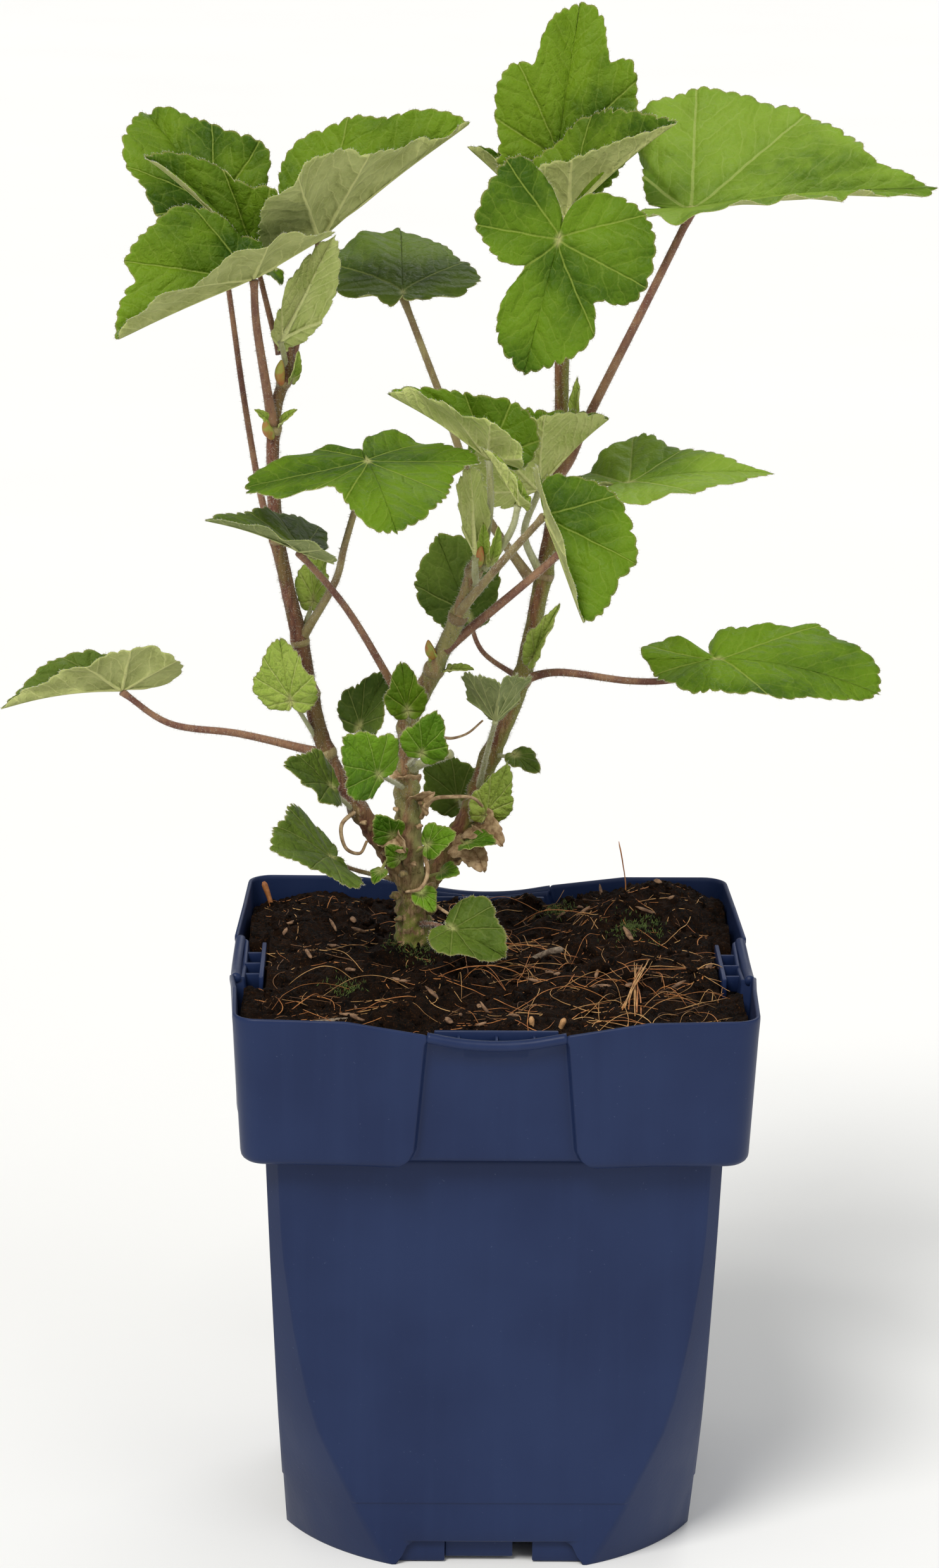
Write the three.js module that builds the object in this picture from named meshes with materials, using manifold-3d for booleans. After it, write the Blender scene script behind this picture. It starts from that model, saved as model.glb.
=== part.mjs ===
// A young tree mallow in a square nursery pot, filled with peaty soil.
// Millimetres, +Z up. The pot's own axis is x = y = 0 while it is built and its feet stand on z = 0.
// The front of the pot faces -Y. At the end the whole plant is moved, so that the origin lies in the
// middle of the base of its box.
import * as THREE from "three";
import { mergeVertices } from "three/addons/utils/BufferGeometryUtils.js";
import Module from "manifold-3d";

const wasm = await Module();
wasm.setup();

// Pot: driving dimensions
const WALL = 1.2;
const CLEARANCE = 0.3; // between neighbouring pieces
const BODY_HALF_FOOT = 56.8; // from the axis to a flat side, at the feet
const BODY_HALF_COLLAR = 61.4; // the same, under the collar
const CORNER_STEPS = 5;
const STEP_Z = 18.6; // the base of the body is drawn in below this line
const STEP_IN = 0.35;
const BODY_ROUND = [[0, 62.5], [18, 68], [44, 76], [69, 80], [94, 83], [120, 84.5]]; // z, corner radius
const COLLAR_Z = 119.8;
const RIM_Z = 161.3;
const COLLAR_HALF = [[COLLAR_Z, 67.9], [RIM_Z, 70]]; // z, half width of the collar
const COLLAR_CORNER = 7;
const LEDGE_TOP = 121.2; // the ring that joins collar and body
const LIP_EDGE = [[119.8, 27], [120.6, 25], [122.2, 23], [125, 21.7], [RIM_Z, 18.6]]; // z, panel edge
const LIP_OUT = 2.4; // the raised panels' edge stands out this far
const RECESS_IN = 0.6; // and the recess between them lies back this far
const LIP_SLANT = 0.8;
const RIM_DIP = [[0, 6.3], [17.8, 4.3], [19, 3.3], [40, 0.3], [63, 0]]; // t, drop
const COLLAR_FILLET = [[119.8, 2], [120.6, 0.7], [122.2, 0], [125, 0], [RIM_Z, 0]]; // z, inset
const FLOOR_Z = 7;
const FLOOR_TOP = 8.4;
const FOOT_WALL = 1.6;
const NOTCH_FOOT = 25.9; // half width of the gap between two feet, at the ground
const NOTCH_TOP = 21.5;
const DRAIN_RADIUS = 4;
const DRAIN_PLACE = 28;
const GRIP_HALF = 16.5; // the finger tab behind each recess
const GRIP_Z = [150, 158.2];
const GRIP_X = [63.2, 64.4];
const LEDGE_X = [63.8, 68.9];
const LEDGE_Z = [151, 155.4];
const BAR_RADIUS = 1.5; // the rolled edge along the top of each recess

// Soil: its level, and mounds and hollows as x, y, rise and reach
const SOIL_Z = 155;
const SOIL_INSET = 1.7; // from the outside of the body
const SOIL_MOUNDS = [[45, 50, 8, 14], [-48, 40, 3, 14], [-24, 8, 2, 10], [40, -20, -2, 20], [4, -4, -2, 9]]

// Leaves
const BLADE = 0.7; // thickness of a blade
const TOOTH = 0.05; // every second point of the margin is drawn in by this share
const PLAIN_RIM = [
  [-150, 0.16], [-118, 0.36], [-90, 0.52], [-60, 0.72], [-40, 0.7], [-20, 0.84], [0, 1],
  [20, 0.84], [40, 0.7], [60, 0.72], [90, 0.52], [118, 0.36], [150, 0.16], [180, 0.07],
];

// Woody stems: points from the root up, and the radius along each
const STEMS = {
  middle: [
    {
      path: [[-21, 16, 84], [-21, 16, 118], [-21, 16, 149], [-22, 16, 161], [-22, 16, 174]],
      radii: [1.6, 3.6, 5.4, 5, 4.3],
      sides: 8,
    },
    {
      path: [[-22, 15, 171], [-23, 13, 187], [-24, 11, 202], [-24, 8, 216], [-23, 5, 226], [-18, 1, 237],
        [-13, -3, 249], [-9, -6, 260], [-6, -8, 270], [-4, -9, 275]],
      radii: [3.6, 3.3, 3, 2.5, 2.2, 1.8],
      sides: 7,
    },
  ],
  left: [
    {
      path: [[-22, 15, 171], [-31, 12, 187], [-41, 10, 203], [-48, 8, 219], [-53, 7, 243],
        [-57, 6, 261], [-60, 5, 277], [-61, 4, 298], [-60, 4, 312], [-57, 3, 322], [-57, 3, 333]],
      radii: [2.9, 2.5, 2.2, 2.1, 1.9, 1.7, 1.4],
      sides: 6,
    },
  ],
  right: [
    {
      path: [[-21, 16, 170], [-13, 18, 182], [-6, 20, 195], [-1, 22, 209], [5, 23, 223], [9, 24, 236],
        [12, 25, 252], [15, 26, 268], [17, 27, 284], [18, 28, 298], [18, 28, 312], [18, 28, 326],
        [18, 26, 339]],
      radii: [3, 2.7, 2.5, 2.4, 2.2, 2, 1.8],
      sides: 7,
    },
  ],
};

// The stump of a cut leaf stalk and the pointed stipules at the nodes, all grown from the stems
const STUMPS = {
  middle: [
    { path: [[-24, 9, 209], [-19, 2, 213], [-12, -4, 217]], radii: [1.6, 1.2, 1.3] },
    { path: [[-16, 0, 241], [-18, -5, 248]], radii: [1.3, 0.4] },
    { path: [[-14, -1, 240], [-10, -6, 241], [-6, -9, 242]], radii: [1.3, 1, 0.4] },
  ],
  left: [
    { path: [[-60, 4, 306], [-66, -2, 312]], radii: [1.3, 0.4] },
    { path: [[-60, 4, 306], [-54, -2, 312]], radii: [1.3, 0.4] },
    { path: [[-57, 3, 319], [-55, -1, 323], [-54, -2, 328]], radii: [1.4, 1.6, 0.5] },
  ],
  right: [
    { path: [[-3, 20, 199], [-1, 15, 206]], radii: [1.4, 0.5] },
  ],
};

// Sprouts too small for a stalk of their own: bud on the stem, joint, tip
const SPROUTS = {
  middle: [
    { root: [-23, 14, 183], joint: [-18, 3, 189], tip: [-10, -2, 194], up: [0.2, -0.8, 0.6] },
    { root: [-20, 15, 176], joint: [-14, 7, 180], tip: [-9, 2, 181], up: [0, -0.7, 0.7] },
    { root: [-22, 14, 172], joint: [-20, 8, 174], tip: [-16, 4, 169], up: [0.2, -0.9, 0.4] },
    { root: [-24, 13, 187], joint: [-28, 7, 191], tip: [-33, 2, 198], up: [-0.2, -0.9, 0.3] },
  ],
  left: [
    { root: [-29, 13, 183], joint: [-26, 7, 184], tip: [-30, 3, 189], up: [-0.3, -0.8, 0.5] },
    { root: [-29, 12, 183], joint: [-31, 5, 181], tip: [-33, 1, 178], up: [-0.3, -0.7, 0.7] },
  ],
  right: [
    { root: [-10, 19, 187], joint: [-7, 8, 188], tip: [1, 2, 190], up: [0.1, -0.5, 0.9] },
  ],
};

// Leaves: joint of stalk and blade, tip of the middle lobe, the way the upper face looks, and the
// stalk's points from the stem. A rim is a list of angle and radius round the joint, with the tip at
// angle 0 and radius 1. Fold and curl are for the left and right half, in degrees and radians.
const LEAVES = [
  {
    name: "leaf_left_back", joint: [-76.6, 26.2, 361.7], tip: [-97, 44, 386], up: [0.1, -0.75, 0.5],
    stalk: [[-60, 5, 276], [-64, 10, 284], [-69, 17, 310], [-73, 22, 337]], thick: 0.8,
    rim: [[-145, 0.4], [-98, 0.45], [-75, 0.64], [-46, 0.64], [-25, 0.76], [-8, 0.98], [0, 1], [12, 0.98],
      [28, 0.87], [50, 0.6], [80, 0.5], [110, 0.5], [145, 0.4], [180, 0.12]],
    fold: [4, 17], curl: [0.1, 0.2], bend: 0.4,
  },
  {
    name: "leaf_left_upper_right", joint: [-49, 8, 356], tip: [-8, 13, 387], up: [-0.35, -0.35, 0.85],
    stalk: [[-57, 4, 319], [-53, 6, 336]], thick: 1,
    rim: [[-140, 0.2], [-110, 0.5], [-86, 0.7], [-67, 0.7], [-40, 0.62], [-20, 0.68], [-8, 0.82], [0, 1],
      [14, 0.9], [24, 0.76], [42, 0.7], [57, 0.63], [73, 0.54],
      [95, 0.3], [120, 0.18], [150, 0.12], [180, 0.08]],
    fold: [40, 57], bend: 0.2,
  },
  {
    name: "leaf_left_upper", joint: [-65, 13, 349], tip: [-96, 15.2, 377.2], up: [0.25, -0.35, 0.9],
    stalk: [[-59, 4, 326], [-62, 8, 336]], thick: 0.8,
    rim: [[-140, 0.14], [-81, 0.2], [-67, 0.43], [-57, 0.53], [-43, 0.52], [-32, 0.58], [-21, 0.74],
      [-8, 0.94], [0, 1], [12, 0.86], [30, 0.5], [60, 0.36], [100, 0.3], [145, 0.22], [180, 0.1]],
    fold: [15, 65], bend: 0.4,
  },
  {
    name: "leaf_left_front", joint: [-66, -5, 348], tip: [-102, -16, 333], up: [-0.2, -0.8, 0.6],
    stalk: [[-61, 3, 307], [-65, -3, 334]], thick: 1.2,
    rim: [[-124, 0.27], [-97, 0.35], [-89, 0.48], [-75, 0.69], [-65, 0.74], [-53, 0.78], [-42, 0.84],
      [-33, 0.87], [-26, 0.8], [-20, 0.87], [-10, 0.95], [0, 1], [12, 0.85], [35, 0.7], [60, 0.66],
      [90, 0.62], [120, 0.62], [150, 0.6], [180, 0.15]],
    fold: [72, 20], bend: 0.15,
  },
  {
    name: "leaf_middle_back", joint: [-26, 28, 339], tip: [-27, 72, 352], up: [0, -0.25, 0.97],
    stalk: [[10, 24, 260], [-4, 24, 281], [-15, 26, 310]], thick: 1.1,
    rim: [[-140, 0.15], [-100, 0.2], [-80, 0.4], [-62, 0.6], [-48, 0.64], [-34, 0.7], [-21, 0.82], [0, 0.9],
      [12, 0.88], [30, 0.84], [48, 0.74], [64, 0.62], [80, 0.46], [100, 0.25], [140, 0.15], [180, 0.08]],
    fold: [-4, -4], curl: [-0.5, -0.35], bend: 0.2,
  },
  {
    name: "leaf_top", joint: [16, 35, 375], tip: [22, 45, 417], up: [-0.1, -0.93, 0.25],
    stalk: [[18, 27, 334], [17, 31, 345], [16, 33, 361]], thick: 1,
    rim: [[-150, 0.25], [-110, 0.42], [-80, 0.52], [-56, 0.65], [-48, 0.68], [-39, 0.77], [-31, 0.8],
      [-26, 0.72], [-20, 0.8], [-11, 0.97], [0, 1], [12, 0.91], [19, 0.78], [25, 0.65], [36, 0.69],
      [50, 0.64], [60, 0.56], [80, 0.44], [110, 0.42], [150, 0.25], [180, 0.1]],
    fold: [10, 10], bend: 0.3,
  },
  {
    name: "leaf_top_cupped", joint: [18, 20, 361], tip: [47, 5, 389], up: [-0.3, -0.1, 0.95],
    stalk: [[18, 27, 336], [19, 22, 347]], thick: 1,
    rim: [[-150, 0.25], [-115, 0.4], [-90, 0.45], [-60, 0.45], [-41, 0.48], [-21, 0.6], [-6, 0.85], [0, 1],
      [12, 0.89], [22, 0.81], [47, 0.66], [66, 0.52], [90, 0.46], [120, 0.4], [150, 0.25], [180, 0.1]],
    fold: [60, 62], bend: 0.2,
  },
  {
    name: "leaf_front_facing", joint: [15, -15, 360], tip: [6, -22, 325], up: [0, -0.97, 0.25],
    stalk: [[17, 26, 327], [16, 20, 334], [15, 3, 348]], thick: 1.1,
    rim: [[-160, 0.25], [-148, 0.5], [-140, 0.66], [-130, 0.72], [-115, 0.7], [-99, 0.68], [-87, 0.67],
      [-72, 0.58], [-58, 0.5], [-41, 0.37], [-32, 0.64], [-21, 0.84], [-10, 0.95], [0, 1], [8, 0.96],
      [36, 0.79], [49, 0.57], [60, 0.7], [70, 0.77], [92, 0.76], [115, 0.71], [140, 0.54],
      [160, 0.33], [180, 0.1]],
    fold: [6, 6], bend: 0.2,
  },
  {
    name: "leaf_right_high", joint: [52, 20, 364], tip: [118, 12, 370], up: [0, -0.38, 0.93],
    stalk: [[14, 25, 286], [20, 25, 293], [26, 25, 307], [42, 22, 341]], thick: 1.2,
    rim: [[-150, 0.2], [-110, 0.4], [-85, 0.56], [-60, 0.6], [-40, 0.62], [-24, 0.67], [-16, 0.68],
      [-8, 0.9], [0, 1], [6, 0.92], [14, 0.76], [22, 0.74], [36, 0.67], [50, 0.64], [66, 0.61],
      [86, 0.62], [101, 0.59],
      [111, 0.54], [123, 0.34], [150, 0.2], [180, 0.1]],
    fold: [27, 25], bend: 0.25,
  },
  {
    name: "leaf_top_left_folded", joint: [9, 44, 361], tip: [-9, 42, 378], up: [-0.4, -0.2, 0.9],
    stalk: [[18, 28, 327], [11, 33, 338], [9, 40, 351]], thick: 0.8,
    width: 0.6, fold: [60, 60], bend: 0.2,
  },
  {
    name: "leaf_right_low", joint: [61, 0, 243], tip: [104, -12, 236], up: [0.1, -0.5, 0.88],
    stalk: [[7, 24, 231], [18, 18, 235], [38, 8, 235], [51, 3, 237]], thick: 1,
    rim: [[-172, 0.44], [-141, 0.4], [-115, 0.38], [-90, 0.38], [-60, 0.42], [-40, 0.55], [-25, 0.67],
      [-10, 0.9], [0, 1], [10, 0.99], [18, 0.94], [28, 0.79], [42, 0.71], [52, 0.58], [64, 0.42], [80, 0.33],
      [105, 0.28], [119, 0.22], [127, 0.1], [136, 0.3], [147, 0.46], [163, 0.52]],
    fold: [0, 0], curl: [-0.1, -0.2], bend: 0.6, back: 0,
  },
  {
    name: "leaf_left_low", joint: [-102, -5, 235], tip: [-134, -18, 233], up: [-0.1, -0.2, 0.97],
    stalk: [[-48, 8, 214], [-70, 5, 220], [-89, 0, 224]], thick: 1,
    rim: [[-150, 0.25], [-110, 0.35], [-81, 0.38], [-63, 0.45], [-41, 0.57], [-25, 0.69], [-8, 0.85], [0, 1],
      [6, 0.85], [18, 0.62], [40, 0.5], [64, 0.45], [84, 0.46], [115, 0.52], [134, 0.53], [152, 0.51],
      [166, 0.38], [180, 0.1]],
    fold: [68, 35], bend: 0.3,
  },
  {
    name: "leaf_centre_broad", joint: [-35, -25, 302], tip: [-27, -58, 289], up: [0, -0.65, 0.8],
    stalk: [[-53, 7, 247], [-44, -5, 265], [-41, -14, 278]], thick: 1,
    rim: [[-155, 0.6], [-130, 0.8], [-112, 0.98], [-100, 0.95], [-88, 0.8], [-75, 0.55], [-58, 0.46],
      [-35, 0.55], [-15, 0.85], [0, 1], [15, 0.92], [40, 0.78], [65, 0.7], [80, 0.84], [90, 0.88], [107, 0.8],
      [130, 0.75], [155, 0.6], [180, 0.15]],
    fold: [-12, -12], curl: [0.1, 0.1], bend: 0.4, back: 0,
  },
  {
    name: "leaf_centre_grey", joint: [-2, -2, 299], tip: [-30, 6, 315], up: [0.2, -0.35, 0.9],
    stalk: [[-4, -8, 273], [-2, -4, 286]], thick: 1,
    rim: [[-150, 0.3], [-110, 0.5], [-80, 0.55], [-50, 0.55], [-25, 0.7], [0, 1], [25, 0.7], [50, 0.55],
      [80, 0.55], [110, 0.5], [150, 0.3], [180, 0.1]],
    fold: [60, 60], bend: 0.2,
  },
  {
    name: "leaf_centre_folded", joint: [11, 12, 288], tip: [30, 6, 309], up: [-0.35, -0.05, 0.93],
    stalk: [[13, 25, 261], [8, 19, 274]], thick: 1,
    rim: [[-150, 0.4], [-110, 0.7], [-82, 0.82], [-62, 0.8], [-44, 0.81], [-21, 0.89], [0, 1], [20, 0.85],
      [43, 0.76], [71, 0.88], [91, 0.95], [115, 0.7], [150, 0.35], [180, 0.1]],
    fold: [65, 66], bend: 0.2,
  },
  {
    name: "leaf_centre_right", joint: [12, -35, 290], tip: [22, -48, 264], up: [0.1, -0.92, 0.35],
    stalk: [[-11, -5, 256], [0, -20, 273]], thick: 1.1,
    rim: [[-150, 0.4], [-110, 0.55], [-60, 0.6], [-20, 0.8], [0, 1], [11, 1.02], [30, 0.9], [45, 0.92],
      [58, 0.84], [72, 0.76], [90, 0.66], [120, 0.48], [150, 0.38], [180, 0.1]],
    fold: [6, 84], bend: 0.15,
  },
  {
    name: "leaf_right_middle", joint: [36, 5, 291], tip: [75, 0, 295], up: [0, -0.25, 0.97],
    stalk: [[-14, -3, 246], [15, -2, 271]], thick: 1.1,
    rim: [[-150, 0.25], [-110, 0.42], [-73, 0.55], [-55, 0.62], [-39, 0.66], [-24, 0.76], [-12, 0.86], [0, 1],
      [6, 0.82], [23, 0.62], [54, 0.52], [73, 0.58], [88, 0.62], [104, 0.56], [119, 0.53], [152, 0.42],
      [180, 0.12]],
    fold: [8, 4], bend: 0.35,
  },
  {
    name: "leaf_young_bright", joint: [6, -12, 288], tip: [-5, -14, 304], up: [0.6, -0.4, 0.6],
    stalk: [[-4, -8, 270], [1, -9, 276], [4, -11, 282]], thick: 1,
    rim: [[-150, 0.12], [-90, 0.22], [-50, 0.3], [-22, 0.55], [0, 1], [22, 0.55], [50, 0.3], [90, 0.22],
      [150, 0.12]],
    fold: [60, 60], bend: 0.2,
  },
  {
    name: "leaf_young_pleated", joint: [-6, -13, 274], tip: [-8, -16, 299], up: [0, 0.6, 0.7],
    stalk: [[-6, -8, 266]], thick: 1,
    rim: [[-150, 0.08], [-90, 0.12], [-50, 0.3], [-25, 0.8], [-10, 0.97], [0, 1], [10, 0.97], [25, 0.8],
      [50, 0.3], [90, 0.12], [150, 0.08]],
    fold: [50, 50], bend: 0.1,
  },
  {
    name: "leaf_left_shaded", joint: [-53, -20, 277], tip: [-78, -30, 287], up: [-0.1, -0.25, 0.95],
    stalk: [[-23, 5, 225], [-37, -5, 252], [-45, -12, 265]], thick: 1,
    rim: [[-145, 0.35], [-130, 0.65], [-118, 0.9], [-105, 0.85], [-94, 0.74], [-70, 0.66], [-47, 0.63],
      [-28, 0.7], [-10, 0.9], [0, 1], [8, 0.8], [25, 0.55], [60, 0.5], [100, 0.5], [140, 0.35], [180, 0.1]],
    fold: [25, 8], bend: 0.3,
  },
  {
    name: "leaf_centre_dark", joint: [-7, 35, 247], tip: [-16, 38, 270], up: [0, -0.95, 0.3],
    stalk: [[7, 24, 232], [-3, 30, 238]], thick: 0.7,
    rim: [[-130, 0.25], [-90, 0.36], [-71, 0.52], [-55, 0.69], [-25, 0.9], [-10, 0.97], [0, 1], [10, 0.93],
      [23, 0.85], [40, 0.76], [57, 0.62], [75, 0.46], [110, 0.3], [150, 0.2], [180, 0.1]],
    fold: [5, 5], bend: 0.2,
  },
  {
    name: "leaf_young_left", joint: [-58.5, 0, 330], tip: [-44, -2, 359], up: [0.35, 0.93, 0.1],
    stalk: [[-57, 3, 322]], thick: 0.8,
    rim: [[-150, 0.1], [-90, 0.19], [-50, 0.34], [-24, 0.66], [-10, 0.88], [0, 1], [10, 0.88], [24, 0.66],
      [50, 0.34], [90, 0.19], [150, 0.1]],
    fold: [28, 28], bend: 0.15,
  },
  {
    name: "leaf_on_soil", joint: [-11.3, -2, 166.3], tip: [4, -13, 161], up: [-0.1, -0.6, 0.8],
    stalk: [[-20, 14, 163], [-16, 5, 165.5]], thick: 0.7,
    width: 1.05, fold: [24, 20], bend: 0.3,
  },
  {
    name: "small_leaf_left_pale", joint: [-56, 0, 231], tip: [-59, -4, 250], up: [-0.3, -0.9, 0.2],
    stalk: [[-49, 8, 218]], thick: 0.6, width: 0.85, fold: [10, 10], bend: 0.3,
  },
  {
    name: "small_leaf_notched", joint: [-37, 10, 221], tip: [-29, 10, 237], up: [-0.6, -0.7, 0.3],
    stalk: [[-26, 10, 208]], thick: 0.6, width: 0.9, fold: [15, 15], bend: 0.2,
  },
  {
    name: "small_leaf_grey_narrow", joint: [-24, -3, 229], tip: [-26, -6, 244], up: [0, -0.9, 0.3],
    stalk: [[-23, 6, 222]], thick: 0.5, width: 0.7, fold: [10, 10], bend: 0.2,
  },
  {
    name: "small_leaf_round", joint: [-32, -15, 214], tip: [-42, -25, 227], up: [-0.1, -0.85, 0.5],
    stalk: [[-25, 9, 204]], thick: 0.6, width: 0.95, fold: [10, 10], bend: 0.2,
  },
  {
    name: "small_leaf_left_oval", joint: [-45, -10, 209], tip: [-58, -22, 218], up: [-0.1, -0.7, 0.7],
    stalk: [[-39, 11, 197]], thick: 0.6, width: 0.8, fold: [10, 10], bend: 0.3,
  },
  {
    name: "small_leaf_left_low", joint: [-45, 0, 186], tip: [-61, -20, 193], up: [-0.1, -0.7, 0.7],
    stalk: [[-27, 14, 176], [-38, 9, 180]], thick: 0.6, width: 1.05, fold: [10, 10], bend: 0.4,
  },
  {
    name: "small_leaf_fan", joint: [0, -8, 228], tip: [1, -25, 242], up: [0, 0.5, 0.8],
    stalk: [[-4, 21, 200], [-2, 4, 215]], thick: 0.8, width: 1.05, fold: [45, 45], bend: 0.1,
  },
  {
    name: "small_leaf_bright", joint: [-20, -14, 220], tip: [-16, -22, 234], up: [0, -0.95, 0.3],
    stalk: [[-24, 8, 210]], thick: 0.6, width: 0.75, fold: [10, 10], bend: 0.2,
  },
  {
    name: "small_leaf_left_high", joint: [-50, 9, 257], tip: [-48, 10, 275], up: [-0.3, -0.9, 0.3],
    stalk: [[-54, 7, 246]], thick: 0.7, width: 0.55, fold: [20, 20], bend: 0.2,
  },
  {
    name: "small_leaf_lance", joint: [-2, 14, 195], tip: [4, 8, 212], up: [0.2, -0.9, 0.3],
    stalk: [[-8, 19, 191]], thick: 0.6, width: 0.6, fold: [10, 10], bend: 0.2,
  },
  {
    name: "small_leaf_shaded", joint: [-9, 32, 194], tip: [-18, 36, 209], up: [0, -0.95, 0.3],
    stalk: [[-7, 20, 192]], thick: 0.6, width: 0.85, fold: [10, 10], bend: 0.2,
  },
  {
    name: "small_leaf_tiny", joint: [6, 14, 212], tip: [13, 6, 209], up: [0.2, -0.8, 0.6],
    stalk: [[0, 22, 210]], thick: 0.5, width: 0.7, fold: [10, 10], bend: 0.2,
  },
  {
    name: "small_leaf_right_folded", joint: [11, 16, 240], tip: [18, 10, 257], up: [-0.4, -0.8, 0.2],
    stalk: [[10, 24, 238]], thick: 0.8, width: 0.45, fold: [45, 45], bend: 0.1,
  },
  {
    name: "small_leaf_right_high", joint: [22, 22, 307], tip: [22, 20, 318], up: [-0.5, -0.8, 0.2],
    stalk: [[18, 28, 303]], thick: 0.6, width: 0.4, fold: [35, 35], bend: 0.1,
  },
];

// Surfaces
const NAVY = { color: 0x2a3a60, roughness: 0.45, metalness: 0 };
const PEAT = { color: 0x2b1c12, roughness: 0.95, metalness: 0 };
const BARK = { color: 0x7a5a45, roughness: 0.8, metalness: 0 };
const GREEN = { color: 0x5a8a32, roughness: 0.7, metalness: 0 };
const PALE_GREEN = { color: 0xa8b878, roughness: 0.75, metalness: 0 };
const YOUNG = ["leaf_young_bright", "leaf_young_pleated", "leaf_young_left", "small_leaf_left_pale",
  "small_leaf_left_high", "small_leaf_right_folded", "small_leaf_right_high", "small_leaf_lance"];

const UP = new THREE.Vector3(0, 0, 1);
const QUARTER = Math.PI / 2;

const vec = (p) => new THREE.Vector3(p[0], p[1], p[2]);
const lerp = THREE.MathUtils.lerp;
const rad = THREE.MathUtils.degToRad;

// Straight-line reading of a table of [place, value] pairs
function between(table, place) {
  if (place <= table[0][0]) {
    return table[0][1];
  }
  for (let i = 1; i < table.length; i += 1) {
    const [a, low] = table[i - 1];
    const [b, high] = table[i];
    if (place <= b) {
      return lerp(low, high, (place - a) / (b - a));
    }
  }
  return table[table.length - 1][1];
}

// A closed geometry becomes a solid that can be cut and joined
function solid(geometry) {
  const bare = new THREE.BufferGeometry();
  bare.setAttribute("position", geometry.getAttribute("position"));
  bare.setIndex(geometry.getIndex());
  const welded = mergeVertices(bare, 1e-4);
  const vertProperties = Float32Array.from(welded.getAttribute("position").array);
  const triVerts = Uint32Array.from(welded.getIndex().array);
  return new wasm.Manifold(new wasm.Mesh({ numProp: 3, vertProperties, triVerts }));
}

function geometryOf(shape) {
  const { vertProperties, triVerts } = shape.getMesh();
  const geometry = new THREE.BufferGeometry();
  geometry.setAttribute("position", new THREE.BufferAttribute(vertProperties, 3));
  geometry.setIndex(new THREE.BufferAttribute(triVerts, 1));
  geometry.computeVertexNormals();
  return geometry;
}

function meshOf(name, shape, surface) {
  const material = new THREE.MeshStandardMaterial({ ...surface, flatShading: true });
  const mesh = new THREE.Mesh(geometryOf(shape), material);
  mesh.name = name;
  return mesh;
}

// Rings with equal numbers of points, each turning left round the way to the next, make a closed skin
function loft(rings) {
  const count = rings[0].length;
  const ends = [rings[0], rings[rings.length - 1]].map((ring) => {
    const middle = new THREE.Vector3();
    ring.forEach((p) => middle.add(p));
    return middle.divideScalar(count);
  });
  const points = [...rings.flat(), ...ends];
  const first = points.length - 2;
  const last = points.length - 1;
  const top = (rings.length - 1) * count;
  const faces = [];
  for (let i = 0; i < count; i += 1) {
    const next = (i + 1) % count;
    faces.push(first, next, i, last, top + i, top + next);
    for (let k = 0; k < rings.length - 1; k += 1) {
      const a = k * count;
      const b = a + count;
      faces.push(a + i, a + next, b + next, a + i, b + next, b + i);
    }
  }
  const geometry = new THREE.BufferGeometry().setFromPoints(points);
  geometry.setIndex(faces);
  return solid(geometry);
}

// A round bar along a smooth line, with its radius read from a list along the way. Grown, it is
// thicker and longer by that much.
function tube(path, radii, sides, steps, grow = 0) {
  const table = radii.map((r, k) => [k / (radii.length - 1), r + grow]);
  const curve = new THREE.CatmullRomCurve3(path.map(vec), false, "catmullrom");
  const frames = curve.computeFrenetFrames(steps, false);
  const rings = [];
  for (let i = 0; i <= steps; i += 1) {
    const middle = curve.getPointAt(i / steps);
    const reach = i === 0 ? -grow : i === steps ? grow : 0;
    middle.addScaledVector(frames.tangents[i], reach);
    const radius = between(table, i / steps);
    const ring = [];
    for (let k = 0; k < sides; k += 1) {
      const angle = 2 * Math.PI * k / sides;
      const point = middle.clone();
      point.addScaledVector(frames.normals[i], radius * Math.cos(angle));
      point.addScaledVector(frames.binormals[i], radius * Math.sin(angle));
      ring.push(point);
    }
    rings.push(ring);
  }
  return loft(rings);
}

const atTurn = (x, y, z, turn) => new THREE.Vector3(x, y, z).applyAxisAngle(UP, turn);

// Calls back for each of the pot's four sides; the first faces +X
function eachSide(make) {
  return [0, 1, 2, 3].map((side) => make(side * QUARTER));
}

// Pot

// One level of the body: four flats, with corners on a circle round the pot's axis
function bodyRing(z, inset, flatSteps, cornerSteps) {
  const pinch = z < STEP_Z ? STEP_IN : 0;
  const half = lerp(BODY_HALF_FOOT, BODY_HALF_COLLAR, z / COLLAR_Z) - pinch - inset;
  const round = between(BODY_ROUND, z) - inset;
  const edge = Math.sqrt(round * round - half * half);
  const start = Math.atan2(edge, half);
  return eachSide((turn) => {
    const points = [];
    for (let i = 0; i <= flatSteps; i += 1) {
      points.push(atTurn(half, lerp(-edge, edge, i / flatSteps), z, turn));
    }
    for (let i = 1; i < cornerSteps; i += 1) {
      const angle = lerp(start, QUARTER - start, i / cornerSteps);
      points.push(atTurn(round * Math.cos(angle), round * Math.sin(angle), z, turn));
    }
    return points;
  }).flat();
}

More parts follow.
